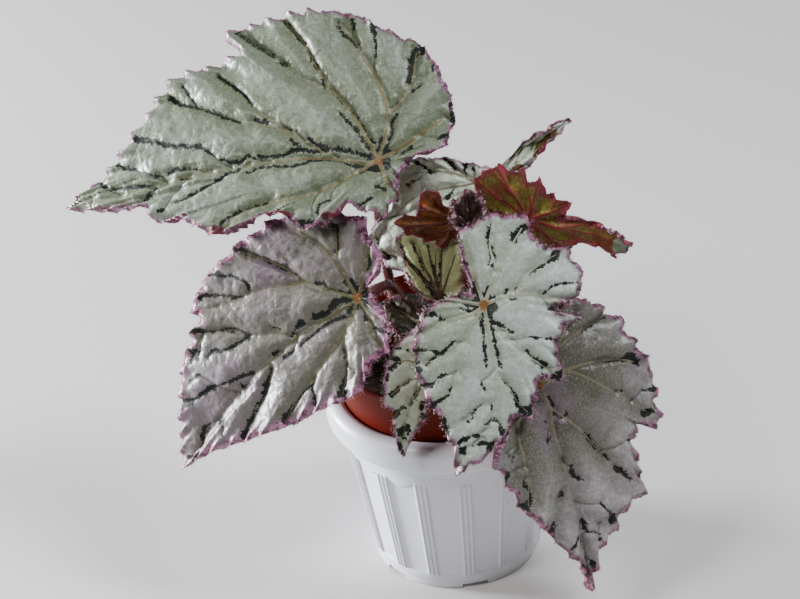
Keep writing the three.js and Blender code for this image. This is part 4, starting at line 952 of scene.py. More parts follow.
def leaf_upper(name, silver, shade, green, glint="#c3c9c0", vein="#766b48", rim="#8a5478",
               rim_deep="#4a1630", rim_width=1.0, blush=0.0, star="#7a4e22", joint_green_and_shade=0.3,
               green_and_shade_reach=100.0, right_green=0.0, black=0.95):
    """The silvered upper skin of a rex begonia leaf, grown over a layer of air, which gives it a
    satin, slightly grainy shine. Along the veins the air is missing and the skin is black
    green. How much greener it is near the joint is joint_green_and_shade, out to
    green_and_shade_reach mm; on a leaf that lies in another leaf's shade it is set high, and
    there that green is painted shade. Right_green is how much greener it is right of the
    midrib, and black how dark the wedges round the joint are. Glint is a paler silver, laid in
    flecks over the grain as painted highlights. The silver's real grain, of cells 0.1 mm wide,
    is drawn 1.2 and 0.8 mm wide, so that it shows"""
    f = Finish(name)
    flat = f.add("Attribute", {}, "Vector", attribute_name="flat")
    main, side, mark, edge, joint = [f.add("Attribute", {}, "Fac", attribute_name=key)
                                     for key in ("vein", "side", "dark", "rim", "star")]
    cloud, broad, middle, fine, grain, speck = [
        f.add("TexNoise", {"Vector": flat, "Scale": 1 / size, "Detail": 4.0, "Roughness": 0.62})
        for size in (35, 20, 8, 3, 1.2, 0.8)]
    cells = f.add("TexVoronoi", {"Vector": flat, "Scale": 1 / 3.6}, feature="DISTANCE_TO_EDGE")

    # Silver in clouds, greener in patches, along the veins, near the joint and on the right
    body = f.paint(silver, shade, broad, 0.7, 0.3)
    body = f.paint(body, green, middle, 0.75, 0.45, 0.5)
    body = f.paint(body, green, main, 0.0, 16.0, 0.6)
    # Greener round the joint; on a leaf in another leaf's shade this is set high and is painted shade
    body = f.paint(body, green, joint, 15.0, green_and_shade_reach, joint_green_and_shade)
    across = f.add("SeparateXYZ", {"Vector": flat}, "Y")
    body = f.paint(body, green, across, -22.0, 4.0, right_green)
    # Painted highlight: paler silver glints laid in flecks over the grain
    body = f.paint(body, glint, grain, 0.72, 0.45, 0.22)
    body = f.paint(body, green, cells, 0.0, 0.12, 0.3)
    body = f.paint(body, "#8a6f86", cloud, 0.7, 0.45, blush)
    furrow = f.add("Math", {0: fine, 1: 1.6, 2: side}, operation="MULTIPLY_ADD")
    body = f.paint(body, "#3f4634", furrow, 0.8, 1.7, 0.5)

    # The pink edge, of uneven width, with pale flecks where its hairs stand
    sway = f.add("Math", {0: middle, 1: 5 * rim_width, 2: edge}, operation="MULTIPLY_ADD")
    margin = f.paint(rim_deep, rim, fine, 0.56, 0.42)
    margin = f.paint(margin, "#ecd3de", grain, 0.72, 0.58, 0.7)
    body = f.paint(body, margin, sway, 3.1 * rim_width, 5.0 * rim_width, 0.95)

    # The marks, with torn outlines and small holes, and the wedges round the joint
    torn = f.add("Math", {0: grain, 1: 4.0, 2: mark}, operation="MULTIPLY_ADD")
    torn = f.add("Math", {0: fine, 1: 5.0, 2: torn}, operation="MULTIPLY_ADD")
    holes = f.add("MapRange", {"Value": speck, "From Min": 0.6, "From Max": 0.64})
    torn = f.add("Math", {0: torn, 1: holes})
    body = f.paint(body, BLACK_GREEN, torn, TORN_FULL, TORN_END)
    wedge = f.add("Math", {0: fine, 1: 8.0, 2: joint}, operation="MULTIPLY_ADD")
    body = f.paint(body, BLACK_GREEN, wedge, STAR_R + 7.5, STAR_R + 8.2, black)

    # The main veins, which fade outwards, and the brown star in which they meet
    line = f.add("Math", {0: fine, 1: 0.3, 2: main}, operation="MULTIPLY_ADD")
    faded = f.add("MapRange", {"Value": joint, "From Min": 6.0, "From Max": 70.0,
                               "To Min": 0.0, "To Max": 0.25})
    line = f.add("Math", {0: line, 1: faded})
    body = f.paint(body, vein, line, 0.35, 0.55, 0.9)
    body = f.paint(body, green, line, -0.25, 0.0, 0.5)
    centre = f.add("Math", {0: main, 1: 0.9, 2: joint}, operation="MULTIPLY_ADD")
    body = f.paint(body, star, centre, STAR_R * 0.45, STAR_R * 1.1, 0.95)

    # The silver shines and the marks are dull, and small pebbles 1.4 mm wide catch the light
    shine = f.add("MapRange", {"Value": grain, "From Min": 0.3, "From Max": 0.7,
                               "To Min": SATIN - 0.06, "To Max": SATIN + 0.12})
    dull = f.add("MapRange", {"Value": torn, "From Min": TORN_FULL, "From Max": TORN_END,
                              "To Min": 0.75, "To Max": 0.0})
    shine = f.add("Math", {0: shine, 1: dull}, operation="MAXIMUM")
    pebble = f.add("TexVoronoi", {"Vector": flat, "Scale": 1 / 1.4}, feature="SMOOTH_F1")
    bumps = f.add("Bump", {"Height": pebble, "Strength": 1.0, "Distance": 0.16 * MM})
    bumps = f.add("Bump", {"Height": speck, "Strength": 1.0, "Distance": 0.05 * MM,
                           "Normal": bumps})
    return f.finish(Base_Color=body, Roughness=shine, Normal=bumps, Specular_IOR_Level=0.5,
                    IOR=1.42)


def leaf_under(name, body, shade, vein, net="#6d3a24", blaze="#8e2340", blaze_reach=2.5):
    """The underside: fleshy skin, half matt, red where the dye shows through, most of all out to
    blaze_reach mm from the edge, over a net of raised veins"""
    f = Finish(name)
    flat = f.add("Attribute", {}, "Vector", attribute_name="flat")
    main, side, mark, edge = [f.add("Attribute", {}, "Fac", attribute_name=key)
                              for key in ("vein", "side", "dark", "rim")]
    broad, fine = [f.add("TexNoise", {"Vector": flat, "Scale": 1 / size, "Detail": 4.0})
                   for size in (12, 3)]
    cells = f.add("TexVoronoi", {"Vector": flat, "Scale": 1 / 3.0}, feature="DISTANCE_TO_EDGE")
    colour = f.paint(body, shade, broad, 0.65, 0.4)
    sway = f.add("Math", {0: broad, 1: 2 * blaze_reach, 2: edge}, operation="MULTIPLY_ADD")
    colour = f.paint(colour, blaze, sway, blaze_reach, 2.2 * blaze_reach, 0.9)
    colour = f.paint(colour, net, cells, 0.0, 0.16, 0.75)
    furrow = f.add("Math", {0: fine, 1: 0.8, 2: side}, operation="MULTIPLY_ADD")
    colour = f.paint(colour, vein, furrow, 0.5, 1.2, 0.85)
    colour = f.paint(colour, "#3c1514", mark, -0.2, 0.6, 0.8)
    colour = f.paint(colour, vein, main, 0.1, 0.7)
    colour = f.paint(colour, "#7a1832", edge, 0.3, 1.4, 0.8)
    bumps = f.add("Bump", {"Height": cells, "Strength": 1.0, "Distance": 0.6 * MM})
    return f.finish(Base_Color=colour, Roughness=0.5, Normal=bumps, IOR=1.42)


def hair_finish(name, root, tip):
    """Leaf hairs: clear threads with a pink or brown base"""
    f = Finish(name)
    way = f.add("Attribute", {}, "Fac", attribute_name="way")
    return f.finish(Base_Color=f.paint(root, tip, way, 1.0, 0.0), Roughness=0.45)


LOOKS = {
    "top_left": Look("silver_green_leaf", relief=1.4, spacing=26, ruffle=1.8, grow=0.3,
                     lips=[((97, 34), (5, 3)), ((60, 29), (9, 2)), ((26, 33), (6, 2.5))]),
    "left": Look("mauve_leaf", relief=1.2, spacing=22, ruffle=1.4, grow=0.1),
    "front": Look("silver_white_leaf", gap=0.7, relief=1.2, teeth=0.15, spacing=22, ruffle=1.8),
    "right_hanging": Look("mauve_leaf", relief=1.4, teeth=0.15, spacing=22, ruffle=1.8, grow=-0.2),
    "small_front": Look("silver_green_leaf", gap=0.6, relief=0.9),
    "back": Look("mint_leaf", gap=0.7, spacing=14, relief=1.6, ruffle=1.5,
                 lips=[((21, -4), (6, 4)), ((46, -5), (11, 7))]),
    "right_upright": Look("red_veined_leaf", gap=0.6, spacing=12, ruffle=2.5, teeth=0.2,
                          lips=[((60, 0), (8, 9))], lip_side=-1),
    "young_brown": Look("brown_young_leaf", gap=0.5, spacing=9, ruffle=2.5, teeth=0.23),
    "young_green": Look("olive_young_leaf", gap=0.5, relief=1.3, ruffle=2),
    "bud": Look("maroon_bud", gap=0.5, spacing=8, relief=2.2, ruffle=8, teeth=0.3),
    "crown": Look("olive_young_leaf", gap=0.5, spacing=8),
}

COMMON_UNDER = leaf_under("leaf_underside", "#6c3a30", "#7b2a36", "#7c4038")
UPPERS = {
    "top_left": leaf_upper("silver_green_skin", "#838b7d", "#747c6e", "#545c3a", rim_width=1.2,
                           joint_green_and_shade=0.2),
    "left": leaf_upper("mauve_silver_skin", "#7c7577", "#6c6567", "#55543f", "#a09b9d",
                       vein="#5f5838", rim="#a5708f", rim_deep="#581c3e", rim_width=2.5,
                       blush=0.4),
    "front": leaf_upper("silver_white_skin", "#d2d8da", "#c4cbcc", "#7f896e", "#eceff0",
                        vein="#a09f88", rim="#8a5070", rim_deep="#3c1026", rim_width=1.5,
                        right_green=0.6),
    # Painted shade: a strong, far-reaching dark olive round the joint darkens this leaf's upper part, where
    # the front leaf above shades it
    "right_hanging": leaf_upper("olive_silver_skin", "#dedddb", "#c4c1bc", "#3e3926", "#c8c7c3",
                                vein="#77705a", rim="#8a5070", rim_deep="#3c1026",
                                rim_width=1.8, blush=0.3, black=0.0, joint_green_and_shade=0.9,
                                green_and_shade_reach=135.0),
    "small_front": leaf_upper("small_silver_skin", "#c4cbc2", "#b2baae", "#8a9476"),
    "back": leaf_upper("mint_skin", "#e2eade", "#d4decf", "#adb89e", "#f2f5f0", black=0.0),
    "right_upright": leaf_upper("rolled_tip_skin", "#b5bab0", "#a2a89a", "#7c8668", black=0.0),
    "young_brown": leaf_upper("brown_skin", "#6c6340", "#5e4c2c", "#4f3f20", "#8a7a50"),
    "young_green": leaf_upper("olive_skin", "#bcc290", "#a3a976", "#7e8456", "#ccd0aa",
                              vein="#3a2420", rim="#7a3a4a", star="#4a2a20", black=0.0),
    "bud": leaf_upper("bud_skin", "#3a1a18", "#2a1212", "#1c110d", "#7a5a58", vein="#4a2020",
                      rim="#b08a92", star="#3a1a14"),
    # Painted shade: this leaf lies deep in the crown's shade, and its olive is drawn far darker than the
    # other young olive leaf's
    "crown": leaf_upper("crown_skin_painted_shade", "#45442a", "#36351f", "#2c2d1a", "#5c5b40", rim="#5a2434"),
}
UNDERS = {
    "top_left": leaf_under("edge_underside", "#4a1626", "#3c1420", "#5a2030", blaze="#5e1434"),
    "right_upright": leaf_under("red_underside", "#848030", "#85502e", "#80182c", net="#6e4420",
                                blaze="#a02a4c", blaze_reach=5.2),
    "young_brown": leaf_under("brown_underside", "#804208", "#62360a", "#36120a", net="#462008",
                              blaze="#641a12", blaze_reach=2.0),
    "back": leaf_under("rolled_edge_underside", "#5c4a1a", "#4a2012", "#3a0e10", net="#3c2a10",
                       blaze="#4a1018", blaze_reach=2.0),
}
edges = {}
for name, look in LOOKS.items():
    edges[name] = build_blade(name, look, UPPERS[name], UNDERS.get(name, COMMON_UNDER))


# Hairs along the edges

EDGE_HAIRS = 1.3                     # hairs on each mm of edge
EDGE_HAIR_W = 0.16
edge_hair = hair_finish("edge_hair", "#6e3048", "#f2e8e8")
for name, (rim, out, around, rng) in edges.items():
    count = int(around * EDGE_HAIRS)
    pick = rng.integers(0, len(rim), count)
    part = rng.random((count, 1))
    roots = rim[pick] * (1 - part) + rim[(pick + 1) % len(rim)] * part
    aims = out[pick] + rng.normal(0, 0.45, (count, 3))
    sizes = rng.uniform(1.0, 3.0, count)
    hair_piece("edge_hairs_" + name, roots, aims, sizes, EDGE_HAIR_W, edge_hair,
               LOOKS[name].slot, rng)


# Turned and drawn-out pieces

def rounded(profile, size):
    """A profile whose corners turn within size mm of where they were"""
    points = [np.array(p, float) for p in profile]
    out = [points[0]]
    for before, corner, after in zip(points[:-2], points[1:-1], points[2:]):
        start = corner + (before - corner) * min(0.45, size / np.linalg.norm(before - corner))
        stop = corner + (after - corner) * min(0.45, size / np.linalg.norm(after - corner))
        for w in np.linspace(0, 1, 5):
            out.append((1 - w) ** 2 * start + 2 * w * (1 - w) * corner + w ** 2 * stop)
    out.append(points[-1])
    return np.array(out)


def turned(profile, compasses, shift=None):
    """Points and faces of a closed turned form. The profile runs from the axis below to the axis
    above, and shift(radius, height, compass) gives the place that each point moves to"""
    columns = len(compasses)
    angle = np.radians(compasses)
    points = [[0, 0, profile[0][1]]]
    for radius, height in profile[1:-1]:
        r, z = np.full(columns, radius), np.full(columns, height)
        if shift is not None:
            r, z = shift(r, z, compasses)
        points += np.stack([r * np.sin(angle), -r * np.cos(angle), z], 1).tolist()
    points.append([0, 0, profile[-1][1]])
    rows = len(profile) - 2
    faces = [(0, 1 + (c + 1) % columns, 1 + c) for c in range(columns)]
    faces += grid_faces(rows, columns, first=1)
    last, top = 1 + (rows - 1) * columns, len(points) - 1
    faces += [(last + c, last + (c + 1) % columns, top) for c in range(columns)]
    return np.array(points), faces


def drawn(trail, radii, sides):
    """Points, faces and outward ways of a tube along a trail. Its ends are closed by fans"""
    ahead = unit(np.gradient(trail, axis=0))
    side = unit(np.cross(ahead[0], [1.0, 0.2, 0]))
    turn = 2 * math.pi * np.arange(sides) / sides
    rows, outs = [], []
    for place, way, radius in zip(trail, ahead, radii):
        side = unit(side - (side @ way) * way)
        out = np.outer(np.cos(turn), side) + np.outer(np.sin(turn), np.cross(way, side))
        rows.append(place + out * radius)
        outs.append(out)
    points = np.concatenate(rows + [trail[:1], trail[-1:]])
    count = len(trail) * sides
    faces = grid_faces(len(trail), sides)
    faces += [(count, (c + 1) % sides, c) for c in range(sides)]
    faces += [(count + 1, count - sides + c, count - sides + (c + 1) % sides)
              for c in range(sides)]
    return points, faces, np.concatenate(outs)


def slope(value, edge, ends):
    """Goes softly from 0 to 1 as a value passes an edge, between two ends given from that edge"""
    low, high = edge + ends[0], edge + ends[1]
    w = np.clip((value - low) / (high - low), 0, 1)
    return w * w * (3 - 2 * w)


# Cover pot: the sizes of its solid, with moulded edges and curved panel tops

FOOT_R, FOOT_H = 52, 5
BODY_BASE_R, BODY_TOP_R, BODY_TOP = 52.6, 65, 93
COLLAR_R, COLLAR_BASE, COVER_TOP = 75, 104, 122
MOUTH_R, COVER_WALL, COVER_FLOOR = 64.4, 2.6, 3.5
RING_OUT = 1.8
NOTCHES, NOTCH_W, NOTCH_DEEP, NOTCH_H, FRONT_NOTCH = 6, 16, 8, 3, 8
PANELS, FRONT_RIBS, PANEL_HALF, PANEL_CUT = 15, 4, 8.6, 0.45
RIB_W, RIB_PITCH, RIB_OUT, RIB_LOW, RIB_HIGH = 1.5, 2.8, 0.9, 11, 88
RIB_SIDE, RIB_FOOT, RIB_HEAD = (-0.35, 0.1), (-0.5, 0.7), (-0.9, 0.3)     # slopes of the ribs
PANEL_SIDE, PANEL_FOOT, PANEL_HEAD = (-0.3, 0.15), (-0.6, 0.6), (-0.5, 0.5)
PANEL_DIP = 4.5                      # how far a panel's curved top hangs down at its middle
FOOT_BEVEL, STEP_ROUND, COLLAR_ROUND = 0.6, 0.7, 2.2
PERIOD = 360 / PANELS


def body_radius(z):
    return BODY_BASE_R + (z - FOOT_H) * (BODY_TOP_R - BODY_BASE_R) / (BODY_TOP - FOOT_H)


RIB_R = body_radius((RIB_LOW + RIB_HIGH) / 2)


def cover_shift(r, z, compass):
    """Ribs, panels and foot notches of the cover pot's outside"""
    away = (compass - FRONT_RIBS + PERIOD / 2) % PERIOD - PERIOD / 2
    across = np.radians(away) * RIB_R
    from_rib = np.min([np.abs(across - side * RIB_PITCH) for side in (-1, 0, 1)], axis=0)
    rib = 1 - slope(from_rib, RIB_W / 2, RIB_SIDE)
    rib = rib * slope(z, RIB_LOW, RIB_FOOT) * (1 - slope(z, RIB_HIGH, RIB_HEAD))
    aside = PERIOD / 2 - np.abs(away)
    top = RIB_HIGH - PANEL_DIP * (1 - (aside / PANEL_HALF) ** 2)
    panel = 1 - slope(aside, PANEL_HALF, PANEL_SIDE)
    panel = panel * slope(z, RIB_LOW, PANEL_FOOT) * (1 - slope(z, top, PANEL_HEAD))
    half, aside = math.radians(PANEL_HALF), np.radians(np.minimum(aside, PANEL_HALF))
    depth = r * (1 - math.cos(half) / np.cos(aside)) + PANEL_CUT
    outside = np.abs(r - body_radius(z)) < 0.2
    r = r + np.where(outside & (z > FOOT_H) & (z < BODY_TOP), RIB_OUT * rib - depth * panel, 0)
    notch = (compass - FRONT_NOTCH + 180 / NOTCHES) % (360 / NOTCHES) - 180 / NOTCHES
    cut = (np.abs(np.radians(notch) * FOOT_R) < NOTCH_W / 2) & (r > FOOT_R - NOTCH_DEEP)
    return r, np.where(cut & (z < NOTCH_H), NOTCH_H, z)


def cover_columns():
    """Compasses close together at each rib's and panel's edge"""
    sides = [side * RIB_PITCH + end * RIB_W / 2 for side in (-1, 0, 1) for end in (-1, 1)]
    places = [edge + step for edge in sides for step in (RIB_SIDE[0], -0.12, RIB_SIDE[1])]
    places = [math.degrees(place / RIB_R) for place in places]
    places += list(np.linspace(PERIOD / 2 - PANEL_HALF - 0.1, PERIOD / 2 + PANEL_HALF + 0.1, 18))
    places = [FRONT_RIBS + i * PERIOD + place for i in range(PANELS) for place in places]
    half_notch = math.degrees(NOTCH_W / 2 / FOOT_R)
    places += [FRONT_NOTCH + i * 360 / NOTCHES + side * half_notch + step
               for i in range(NOTCHES) for side in (-1, 1) for step in (-0.05, 0.05)]
    return np.unique(np.round(np.mod(places, 360), 3))


def cover_pot(finish):
    """The ribbed body on its notched foot, the stepped ring, the rounded collar and the inside"""
    low = [(0, 0.4), (FOOT_R - NOTCH_DEEP - 0.2, 0), (FOOT_R - NOTCH_DEEP + 0.1, 0),
           (FOOT_R - FOOT_BEVEL, 0), (FOOT_R, FOOT_BEVEL), (FOOT_R, NOTCH_H + 0.3),
           (FOOT_R + 0.1, FOOT_H - 0.4), (body_radius(FOOT_H + 0.6), FOOT_H + 0.6)]
    heights = np.concatenate([np.arange(RIB_LOW - 1.5, RIB_LOW + 1.6, 0.5),
                              np.arange(RIB_LOW + 5, 78, 6),
                              np.arange(RIB_HIGH - 6.5, RIB_HIGH + 1.5, 0.5)])
    body = [(body_radius(z), z) for z in heights]
    high = rounded([
        (body_radius(BODY_TOP - 2), BODY_TOP - 2), (BODY_TOP_R, BODY_TOP),
        (BODY_TOP_R + RING_OUT, BODY_TOP + 1), (BODY_TOP_R + RING_OUT, BODY_TOP + 4),
        (BODY_TOP_R + 2 * RING_OUT, BODY_TOP + 5), (BODY_TOP_R + 2 * RING_OUT, COLLAR_BASE),
        (COLLAR_R - 1, COLLAR_BASE)], STEP_ROUND)
    collar = rounded([
        (COLLAR_R - 1, COLLAR_BASE), (COLLAR_R, COLLAR_BASE + 2), (COLLAR_R, COVER_TOP - 5),
        (COLLAR_R - 3, COVER_TOP - 1), (MOUTH_R + 3, COVER_TOP), (MOUTH_R, COVER_TOP - 1),
        (body_radius(BODY_TOP) - COVER_WALL, BODY_TOP),
        (body_radius(FOOT_H) - COVER_WALL, COVER_FLOOR), (0, COVER_FLOOR)], COLLAR_ROUND)
    profile = low + body + high.tolist() + collar.tolist()[1:]
    points, faces = turned(profile, cover_columns(), cover_shift)
    piece = mesh_piece("cover_pot", points, faces, [finish])
    set_up(piece, "white_plastic", "pot_cover")


# Nursery pot: a thin cone wedged in the cover pot's mouth, with a lip above it

NURSERY_TOP, NURSERY_LIP_R, NURSERY_LIP_H, NURSERY_LIP_OUT = 155.7, 73, 3, 1.2
NURSERY_FLOOR_Z, NURSERY_BASE_R, NURSERY_WALL = 22, 46, 1.4
DRAINS, DRAIN_R, DRAIN_RING = 6, 4.5, 31
SEAT_R, SEAT_Z = 63.9, COVER_TOP - 1


def nursery_inner(z):
    """Inner radius at a height"""
    shoulder = NURSERY_TOP - NURSERY_LIP_H
    ways = [NURSERY_FLOOR_Z, SEAT_Z, shoulder, NURSERY_TOP]
    outer = [NURSERY_BASE_R, SEAT_R, NURSERY_LIP_R - NURSERY_LIP_OUT, NURSERY_LIP_R - 0.6]
    return float(np.interp(z, ways, outer)) - NURSERY_WALL


def nursery_pot(finish):
    """The cone with its lip, and the drain holes bored through its floor"""
    shoulder = NURSERY_TOP - NURSERY_LIP_H
    floor_top = NURSERY_FLOOR_Z + NURSERY_WALL
    profile = rounded([
        (0, NURSERY_FLOOR_Z), (NURSERY_BASE_R, NURSERY_FLOOR_Z), (SEAT_R, SEAT_Z),
        (NURSERY_LIP_R - NURSERY_LIP_OUT, shoulder), (NURSERY_LIP_R, shoulder),
        (NURSERY_LIP_R, NURSERY_TOP), (nursery_inner(NURSERY_TOP), NURSERY_TOP),
        (nursery_inner(SEAT_Z), SEAT_Z), (nursery_inner(floor_top), floor_top),
        (0, floor_top)], STEP_ROUND)
    points, faces = turned(profile, np.arange(0, 360, 2))
    piece = mesh_piece("nursery_pot", points, faces, [finish])
    for i in range(DRAINS):
        compass = math.radians(i * 360 / DRAINS)
        place = (DRAIN_RING * math.sin(compass) * MM, -DRAIN_RING * math.cos(compass) * MM,
                 NURSERY_FLOOR_Z * MM)
        bpy.ops.mesh.primitive_cylinder_add(vertices=32, radius=DRAIN_R * MM, depth=10 * MM,
                                            location=place)
        drill = bpy.context.object
        cut = piece.modifiers.new("drain", "BOOLEAN")
        cut.object, cut.operation = drill, "DIFFERENCE"
        bpy.context.view_layer.objects.active = piece
        bpy.ops.object.modifier_apply(modifier="drain")
        bpy.data.objects.remove(drill)
    set_up(piece, "terracotta_plastic", "pot_nursery")


# Soil and the creeping stem

SOIL_TOP = 145
STEM_R, STEM_Z = 9, 148
STEM_LINE = [(-33, 14), (-20, 7), (-4, 3), (12, -2), (26, -12), (36, -16)]
ROOT_RISE, ROOT_STRAIGHT = 4.5, 8
SOLID_BLADE, HUB = 1.0, 1.2          # thickness of the solid's blade, and of the hub below it
GAP = 0.3                            # clearance between pieces that meet
LUMPS = [(1.6, 9), (0.9, 3)]         # heights and sizes of the peat's lumps
CRUMB, CRUMB_SIZE = 0.8, 2.2
DEEPEST = 2.2                        # how far the peat sinks at most
BARK = [(0.35, 3), (0.3, 1.2)]       # heights and sizes of the lumps in the stem's bark
SCAR = 0.7                           # depth of the rings that fallen leaves left
BARK_IN = 0.2                        # how far the bark lies inside the solid on average


def stem_trail():
    points = [(x, y, STEM_Z) for x, y in STEM_LINE]
    return smooth_curve(points, np.linspace(0, len(points) - 1, 400))


def soil(finish):
    """Peat that fills the nursery pot to a little below its lip, with lumps and crumbs on top"""
    low = NURSERY_FLOOR_Z + NURSERY_WALL + GAP
    wall = nursery_inner(SOIL_TOP) - GAP
    columns = np.arange(0, 360, 1.5)
    radii = np.linspace(wall, 1.2, 90)
    profile = [(0, low), (nursery_inner(low) - GAP, low), (nursery_inner(SEAT_Z) - GAP, SEAT_Z),
               (wall, SOIL_TOP - 4)] + [(r, SOIL_TOP) for r in radii] + [(0, SOIL_TOP)]

    def heap(r, z, compass):
        if z[0] < SOIL_TOP:
            return r, z
        angle = np.radians(compass)
        places = np.stack([r * np.sin(angle), -r * np.cos(angle), np.zeros(len(r))], 1)
        crumbs = CRUMB * (1 - cell_walls(places, CRUMB_SIZE, 3))
        return r, z + np.maximum(layered(places, LUMPS, 1) - crumbs, -DEEPEST)

    points, faces = turned(profile, columns, heap)
    piece = mesh_piece("peat", points, faces, [finish])
    set_up(piece, "compost", "soil")


def creeping_stem(finish):
    """A lumpy tube with round ends and ring scars of fallen leaves"""
    trail = spread_out(stem_trail(), 120)
    ahead = unit(np.gradient(trail, axis=0))
    reach = STEM_R - 1.0
    caps = np.linspace(-1, 0, 14)[:-1]
    before = trail[0] + ahead[0] * (caps * reach)[:, None]
    after = trail[-1] - ahead[-1] * (caps[::-1] * reach)[:, None]
    swell = np.sqrt(1 - caps ** 2) + 0.02
    whole = np.concatenate([before, trail, after])
    size = np.concatenate([swell, np.ones(len(trail)), swell[::-1]])
    sides = 64
    points, faces, outs = drawn(whole, size * STEM_R, sides)
    count = len(whole) * sides
    scars = np.abs(np.sin(np.repeat(np.arange(len(whole)), sides) * 0.55)) ** 8
    lumps = layered(points[:count], BARK, 5)
    points[:count] += outs * (lumps - SCAR * scars - BARK_IN)[:, None]
    piece = mesh_piece("creeping_stem_bark", points, faces, [finish])
    set_up(piece, "woody_stem", "creeping_stem")


def stalk_root(leaf):
    """Where a stalk leaves the creeping stem"""
    trail = stem_trail()
    along, left = leaf["stalk"]["root"]
    k = int(np.argmin(np.abs(lengths_along(trail) - along)))
    ahead = unit(trail[min(k + 1, len(trail) - 1)] - trail[k - 1])
    side = np.cross([0, 0, 1.0], ahead)
    root = trail[k] + side * left
    return np.array([root[0], root[1], STEM_Z + ROOT_RISE])


def stalk_trail(leaf):
    """A stalk's middle line: straight up from its root, through the places given for it, and
    square into the blade, past the end of its solid"""
    blade = Blade(leaf)
    radius = leaf["stalk"]["r"]
    end = blade.joint - blade.normal * (SOLID_BLADE / 2 + HUB + GAP)
    near = end - blade.normal * 2 * radius
    root = stalk_root(leaf)
    above = root + [0, 0, ROOT_STRAIGHT]
    points = [root, above, *leaf["stalk"]["via"], near, end, blade.joint - blade.normal * 0.8]
    return smooth_curve(points, np.linspace(0, len(points) - 1, 300))


STALK_RIDGES, RIDGE = 7, 0.05        # ridges round a stalk, and their height against its radius
WART, WART_SIZE = 0.16, 1.6
STALK_HAIR_W = 0.17


def stalk(name, finish, hair):
    """A fleshy stalk, thicker at both ends, with long hairs that hide much of it"""
    leaf = LEAVES[name]
    rng = np.random.default_rng(100 + sorted(LEAVES).index(name))
    trail = stalk_trail(leaf)
    length = lengths_along(trail)[-1]
    rows = max(24, int(length / 1.2))
    trail = spread_out(trail, rows)
    radius = leaf["stalk"]["r"]
    way = np.linspace(0, 1, rows)
    size = radius * (0.92 + 0.08 * np.exp(-way * 12) + 0.1 * np.exp(-(1 - way) * 18))
    sides = 28
    points, faces, outs = drawn(trail, size, sides)
    count = rows * sides
    turn = np.tile(np.arange(sides), rows) * 2 * math.pi / sides
    ridges = RIDGE * radius * np.sin(turn * STALK_RIDGES)
    warts = WART * np.maximum(noise_at(points[:count], WART_SIZE, 7), 0)
    points[:count] += outs * (ridges + warts)[:, None]
    ways = np.append(np.repeat(way, sides), [0, 1])
    piece = mesh_piece("stalk_skin_" + name, points, faces, [finish], marks={"way": ways})
    set_up(piece, "hairy_stalk", "stalk_" + name)
    number = int(length * (2.2 + radius * 1.6))         # a thicker stalk has more hairs
    pick = rng.integers(0, count, number)
    part = rng.random((number, 1))
    roots = points[pick] * (1 - part) + points[np.minimum(pick + sides, count - 1)] * part
    roots = roots - outs[pick] * 0.15
    aims = outs[pick] + rng.normal(0, 0.3, (number, 3))
    sizes = rng.uniform(1.2, 3.6, number)
    hair_piece("stalk_hairs_" + name, roots, aims, sizes, STALK_HAIR_W, hair, "hairy_stalk", rng)


# Finishes of the pots, the soil and the stalks, whose patterns lie in space

def white_plastic():
    """Injection-moulded polypropylene: a satin white skin, a little waxy, with faint scuffs"""
    f = Finish("moulded_white_polypropylene")
    place = f.add("TexCoord", {}, "Object")
    scuff, stain, grain = [f.add("TexNoise", {"Vector": place, "Scale": 1000 / size, "Detail": 5.0})
                           for size in (11, 70, 0.7)]
    colour = f.paint("#d8dae0", "#cccbcc", stain, 0.8, 0.45, 0.5)
    shine = f.add("MapRange", {"Value": scuff, "From Min": 0.3, "From Max": 0.7,
                               "To Min": 0.3, "To Max": 0.42})
    bumps = f.add("Bump", {"Height": grain, "Strength": 1.0, "Distance": 0.02 * MM})
    return f.finish(Base_Color=colour, Roughness=shine, Normal=bumps, IOR=1.49,
                    Subsurface_Weight=0.12, Subsurface_Radius=(0.006, 0.005, 0.004),
                    Subsurface_Scale=0.5)


def terracotta_plastic():
    """Thin thermoformed polystyrene coloured terracotta: smooth and evenly satin"""
    f = Finish("thermoformed_terracotta_polystyrene")
    place = f.add("TexCoord", {}, "Object")
    dust = f.add("TexNoise", {"Vector": place, "Scale": 1000 / 40, "Detail": 5.0})
    colour = f.paint("#520e00", "#420c02", dust, 0.75, 0.45, 0.4)
    shine = f.add("MapRange", {"Value": dust, "From Min": 0.3, "From Max": 0.7,
                               "To Min": 0.5, "To Max": 0.62})
    return f.finish(Base_Color=colour, Roughness=shine, Specular_IOR_Level=0.08)


def compost():
    """Moist peat: near black, dull, with a few paler fibres"""
    f = Finish("moist_peat")
    place = f.add("TexCoord", {}, "Object")
    fibre = f.add("TexNoise", {"Vector": place, "Scale": 1000 / 2, "Detail": 4.0})
    crumb = f.add("TexVoronoi", {"Vector": place, "Scale": 1000 / 2.4}, "Color")
    colour = f.paint("#17110d", "#4a3626", fibre, 0.75, 0.4)
    colour = f.paint(colour, "#6b5038", crumb, 0.95, 0.85, 0.5)
    bumps = f.add("Bump", {"Height": fibre, "Strength": 1.0, "Distance": 0.4 * MM})
    return f.finish(Base_Color=colour, Roughness=0.95, Normal=bumps)


def bark():
    """The creeping stem's skin: brown cork with dry scale leaves worn off it"""
    f = Finish("begonia_rhizome_skin")
    place = f.add("TexCoord", {}, "Object")
    patch = f.add("TexNoise", {"Vector": place, "Scale": 1000 / 6, "Detail": 5.0})
    bumps = f.add("Bump", {"Height": patch, "Strength": 1.0, "Distance": 0.5 * MM})
    return f.finish(Base_Color=f.paint("#5a3a26", "#7c5a3c", patch, 0.65, 0.35), Roughness=0.8,
                    Normal=bumps)


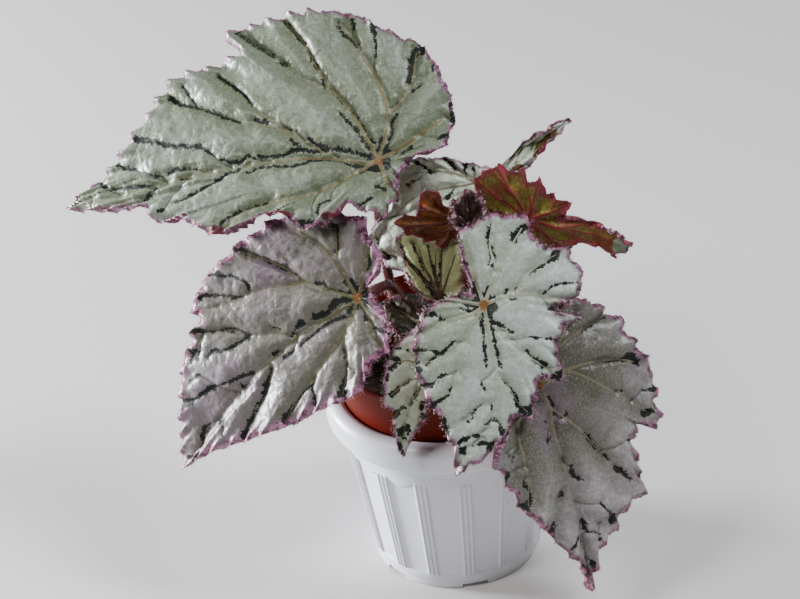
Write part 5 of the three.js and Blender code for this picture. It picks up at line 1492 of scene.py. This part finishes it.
def stalk_skin():
    """Fleshy stalk: translucent red-green skin, streaked and speckled lengthways. Its dark red-brown is
    partly the stalk's own colour and partly painted shade, for the deep shade among the stalks in the crown
    """
    f = Finish("begonia_stalk_skin")
    place = f.add("TexCoord", {}, "Object")
    broad, fleck = [f.add("TexNoise", {"Vector": place, "Scale": 1000 / size, "Detail": 3.0})
                    for size in (16, 1.4)]
    # Painted shade: the stalks' red-brown is drawn darker for the deep shade in the crown
    colour = f.paint("#4c1815", "#60302a", broad, 0.7, 0.3)
    colour = f.paint(colour, "#8c6850", fleck, 0.7, 0.6, 0.5)
    bumps = f.add("Bump", {"Height": fleck, "Strength": 1.0, "Distance": 0.08 * MM})
    return f.finish(Base_Color=colour, Roughness=0.4, Normal=bumps, IOR=1.4,
                    Subsurface_Weight=0.15, Subsurface_Radius=(0.004, 0.0015, 0.001),
                    Subsurface_Scale=0.5)


cover_pot(white_plastic())
nursery_pot(terracotta_plastic())
soil(compost())
creeping_stem(bark())
stalk_finish = stalk_skin()
stalk_hair = hair_finish("stalk_hair", "#641c2c", "#cfaaa6")
for name in LEAVES:
    stalk(name, stalk_finish, stalk_hair)


# Floor and light

def lamp(name, place, aim, size, power, colour="#ffffff"):
    data = bpy.data.lights.new(name, "AREA")
    data.shape = "RECTANGLE"
    data.size, data.size_y = size
    data.energy = power
    data.color = linear(colour)[:3]
    light = bpy.data.objects.new(name, data)
    light.location = place
    way = Vector(aim) - Vector(place)
    light.rotation_euler = way.to_track_quat("-Z", "Y").to_euler()
    bpy.context.scene.collection.objects.link(light)


def stage():
    """A pale paper floor, soft window light from the left and behind, and a faint room"""
    bpy.ops.mesh.primitive_plane_add(size=16)
    floor = bpy.context.object
    floor.name = "floor"
    f = Finish("matt_backdrop_paper")
    floor.data.materials.append(f.finish(Base_Color="#dddbd8", Roughness=0.9))
    lamp("window", (-1.75, 0.6, 0.26), (0, 0, 0.1), (0.5, 0.4), 165, "#f6f9ff")
    lamp("softbox", (-0.9, -0.7, 1.7), (0, 0, 0.2), (0.5, 0.5), 18)
    lamp("sky", (0.85, -0.25, 1.8), (0, 0, 0.2), (0.5, 0.5), 34, "#f4f8ff")
    lamp("back", (0.3, 1.5, 1.7), (0, 0, 0.2), (1.0, 0.8), 5)
    world = bpy.data.worlds.new("soft_room")
    world.use_nodes = True
    world.node_tree.nodes["Background"].inputs[0].default_value = linear("#dfe3e8")
    world.node_tree.nodes["Background"].inputs[1].default_value = 0.06
    bpy.context.scene.world = world


stage()
